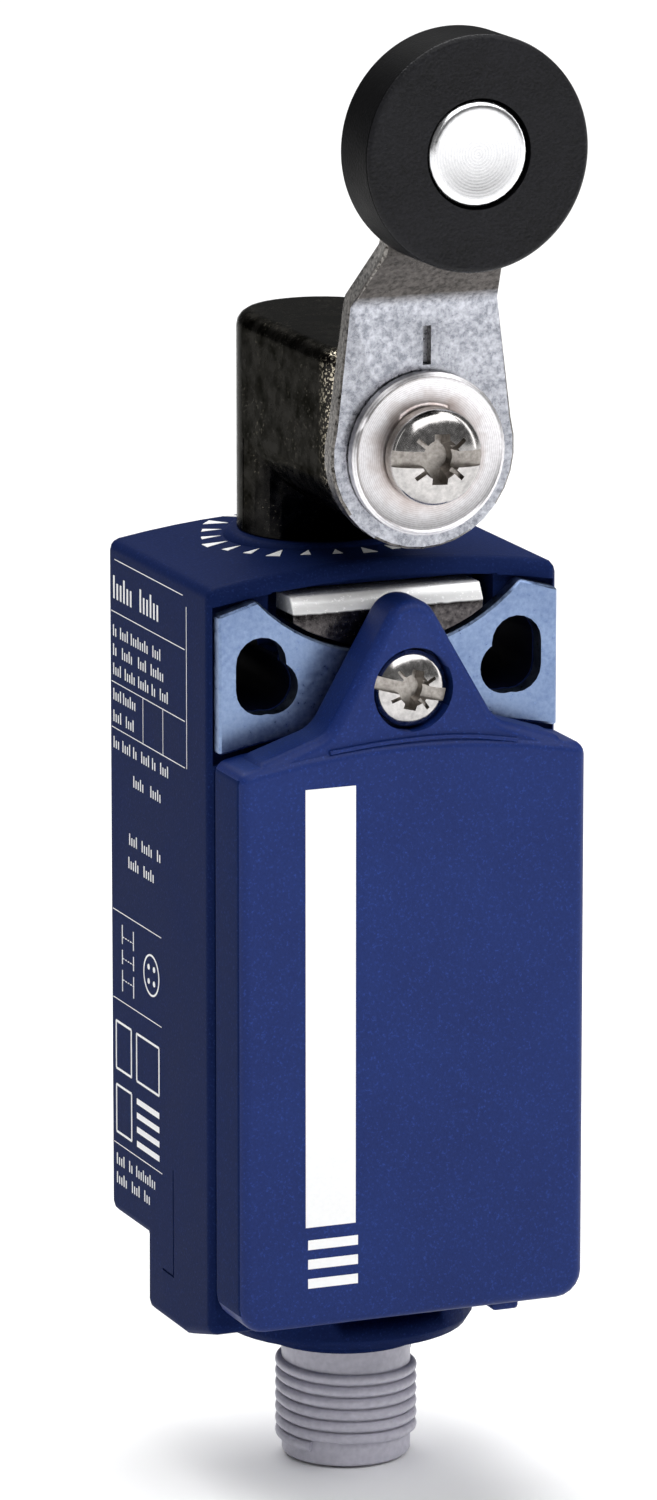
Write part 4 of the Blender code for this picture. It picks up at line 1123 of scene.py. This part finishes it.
def wedge(name, reach, half):
    """A thin prism that points to the head's axis, on the axis's right."""
    tip, base = seat_x + MARK_TIP, seat_x + reach
    piece = block(name, (tip, seat_y - half, -MARK_ROOT), (base, seat_y + half, INK))
    pick_parts(piece, "verts", lambda vert: vert.co.x / MM < tip + 0.01)
    bpy.ops.transform.resize(value=(1, 0, 1), center_override=(0, seat_y * MM, 0))
    bpy.ops.mesh.select_all(action="SELECT")
    bpy.ops.mesh.remove_doubles(threshold=0.000001)
    leave_edit()
    return piece


patterns = {LONG_REACH: wedge("long_wedge", LONG_REACH, LONG_HALF),
            SHORT_REACH: wedge("short_wedge", SHORT_REACH, SHORT_HALF)}
room_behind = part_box("housing")[1].y / MM - seat_y - REAR_MARGIN
clear_selection()
around = Matrix.Translation(Vector((seat_x, seat_y, 0)) * MM)
for step in range(360 // MARK_STEP_DEG):
    reach = SHORT_REACH if step % 3 else LONG_REACH
    turn = math.radians(MARK_STEP_DEG * step)
    if reach * math.sin(turn) > room_behind:
        continue
    mark = new_object("angle_mark", patterns[reach].data.copy())
    mark.matrix_world = around @ Matrix.Rotation(turn, 4, "Z") @ around.inverted()
    mark.select_set(True)
    bpy.context.view_layer.objects.active = mark
bpy.ops.object.join()
angle_marks = settle(bpy.context.object)
angle_marks.name = "angle_marks"
for vert in angle_marks.data.vertices:
    vert.co.z += crown_height(vert.co.x / MM) * MM
for pattern in patterns.values():
    bpy.data.objects.remove(pattern)
put_down(angle_marks, "base", PRINT_WHITE, (), 30, False)

# %% [markdown]
# ## The stage
#
# A switch is shown in a catalogue on white paper, so a large white floor stands in for
# it. The Standard view keeps paint colours as they are typed, where a film-like view
# would fade the deep blue. The floor lies two tenths of a millimetre below the plug's
# end.

# %% Stage
FLOOR_GAP = 0.2
bpy.context.scene.view_settings.view_transform = "Standard"
clear_selection()
bpy.ops.mesh.primitive_plane_add(size=6.0, location=(0, 0, cad_box[0][2] - FLOOR_GAP * MM))
floor = bpy.context.object
floor.name = "studio_floor"
pale = Recipe("pale_floor")
pale.set(Base_Color=colour(0.99, 0.99, 0.99), Roughness=0.6)
floor.data.materials.append(pale.material)
print("floor at", round(floor.location.z / MM, 2), "mm")

# %% [markdown]
# ## The lights
#
# A very wide sun from above and behind whitens the whole floor and the top faces evenly.
# A soft key from the front models the cover. Two strips draw the thin highlights on the
# metal. The surround is white where the camera sees it, but as a light it is dim, so the
# unlit sides stay dark without going black. Each light is aimed by azimuth and elevation.

# %% Lights
LIGHT_TARGET = Vector((0, -15, 0))
DIM, WHITE = 0.15, 1.0


def away_to(azimuth, elevation):
    """A direction from the switch, by degrees to the right of the front and degrees up."""
    a, e = math.radians(azimuth), math.radians(elevation)
    return Vector((math.sin(a) * math.cos(e), -math.cos(a) * math.cos(e), math.sin(e)))


def set_up(name, data, away, target, distance):
    """Place a light or a camera away from a target and aim it there."""
    item = new_object(name, data)
    item.location = target + away * distance
    item.rotation_euler = away.to_track_quat("Z", "Y").to_euler()
    return item


def soft_light(name, azimuth, elevation, distance, size, power):
    """An area light aimed at the middle of the switch."""
    lamp = bpy.data.lights.new(name, "AREA")
    lamp.shape = "RECTANGLE"
    lamp.size, lamp.size_y = size
    lamp.energy = power
    set_up(name, lamp, away_to(azimuth, elevation), LIGHT_TARGET * MM, distance)


def even_light(name, azimuth, elevation, strength, spread):
    """A very wide sun, which whitens the whole floor evenly and still throws only soft shadows."""
    lamp = bpy.data.lights.new(name, "SUN")
    lamp.energy = strength
    lamp.angle = math.radians(spread)
    set_up(name, lamp, away_to(azimuth, elevation), LIGHT_TARGET * MM, 1.0)


even_light("overhead", 175, 60, 3.2, 60)
soft_light("key", 22, 50, 0.75, (0.95, 0.5), 4.4)
soft_light("left_strip", -75, 25, 0.6, (0.1, 0.5), 0.15)
soft_light("right_strip", 70, 20, 0.6, (0.08, 0.5), 0.4)
world = bpy.data.worlds.new("studio")
bpy.context.scene.world = world
world.use_nodes = True
surround = world.node_tree
seen = surround.nodes.new("ShaderNodeLightPath")
level = surround.nodes.new("ShaderNodeMapRange")
for socket, value in (("To Min", DIM), ("To Max", WHITE)):
    level.inputs[socket].default_value = value
surround.links.new(seen.outputs["Is Camera Ray"], level.inputs["Value"])
surround.links.new(level.outputs["Result"], surround.nodes["Background"].inputs["Strength"])
surround.nodes["Background"].inputs["Color"].default_value = colour(1, 1, 1)

# %% [markdown]
# ## The camera
#
# A long lens from about seventy centimetres keeps the upright edges nearly parallel.
# The camera stands to the left of the front, looks slightly down, and is aimed at a
# point near the middle of the switch.

# %% Camera
CAMERA_TARGET = Vector((-5.07, -22.96, -6.57))
CAMERA_AZIMUTH = -22.43
CAMERA_ELEVATION = 13.11
CAMERA_DISTANCE = 686.7
lens = bpy.data.cameras.new("camera")
lens.sensor_width = 36.0
lens.lens = 207.5
lens.clip_start = 0.01
lens.clip_end = 20.0
camera = set_up("camera", lens, away_to(CAMERA_AZIMUTH, CAMERA_ELEVATION), CAMERA_TARGET * MM,
                CAMERA_DISTANCE * MM)
bpy.context.scene.camera = camera
print("camera at", [round(v / MM, 1) for v in camera.location], "mm with a lens of", lens.lens, "mm")

# %% [markdown]
# ## Clearing the selection
#
# The selection is cleared, so that nothing is left selected.

# %% Clear the selection
clear_selection()
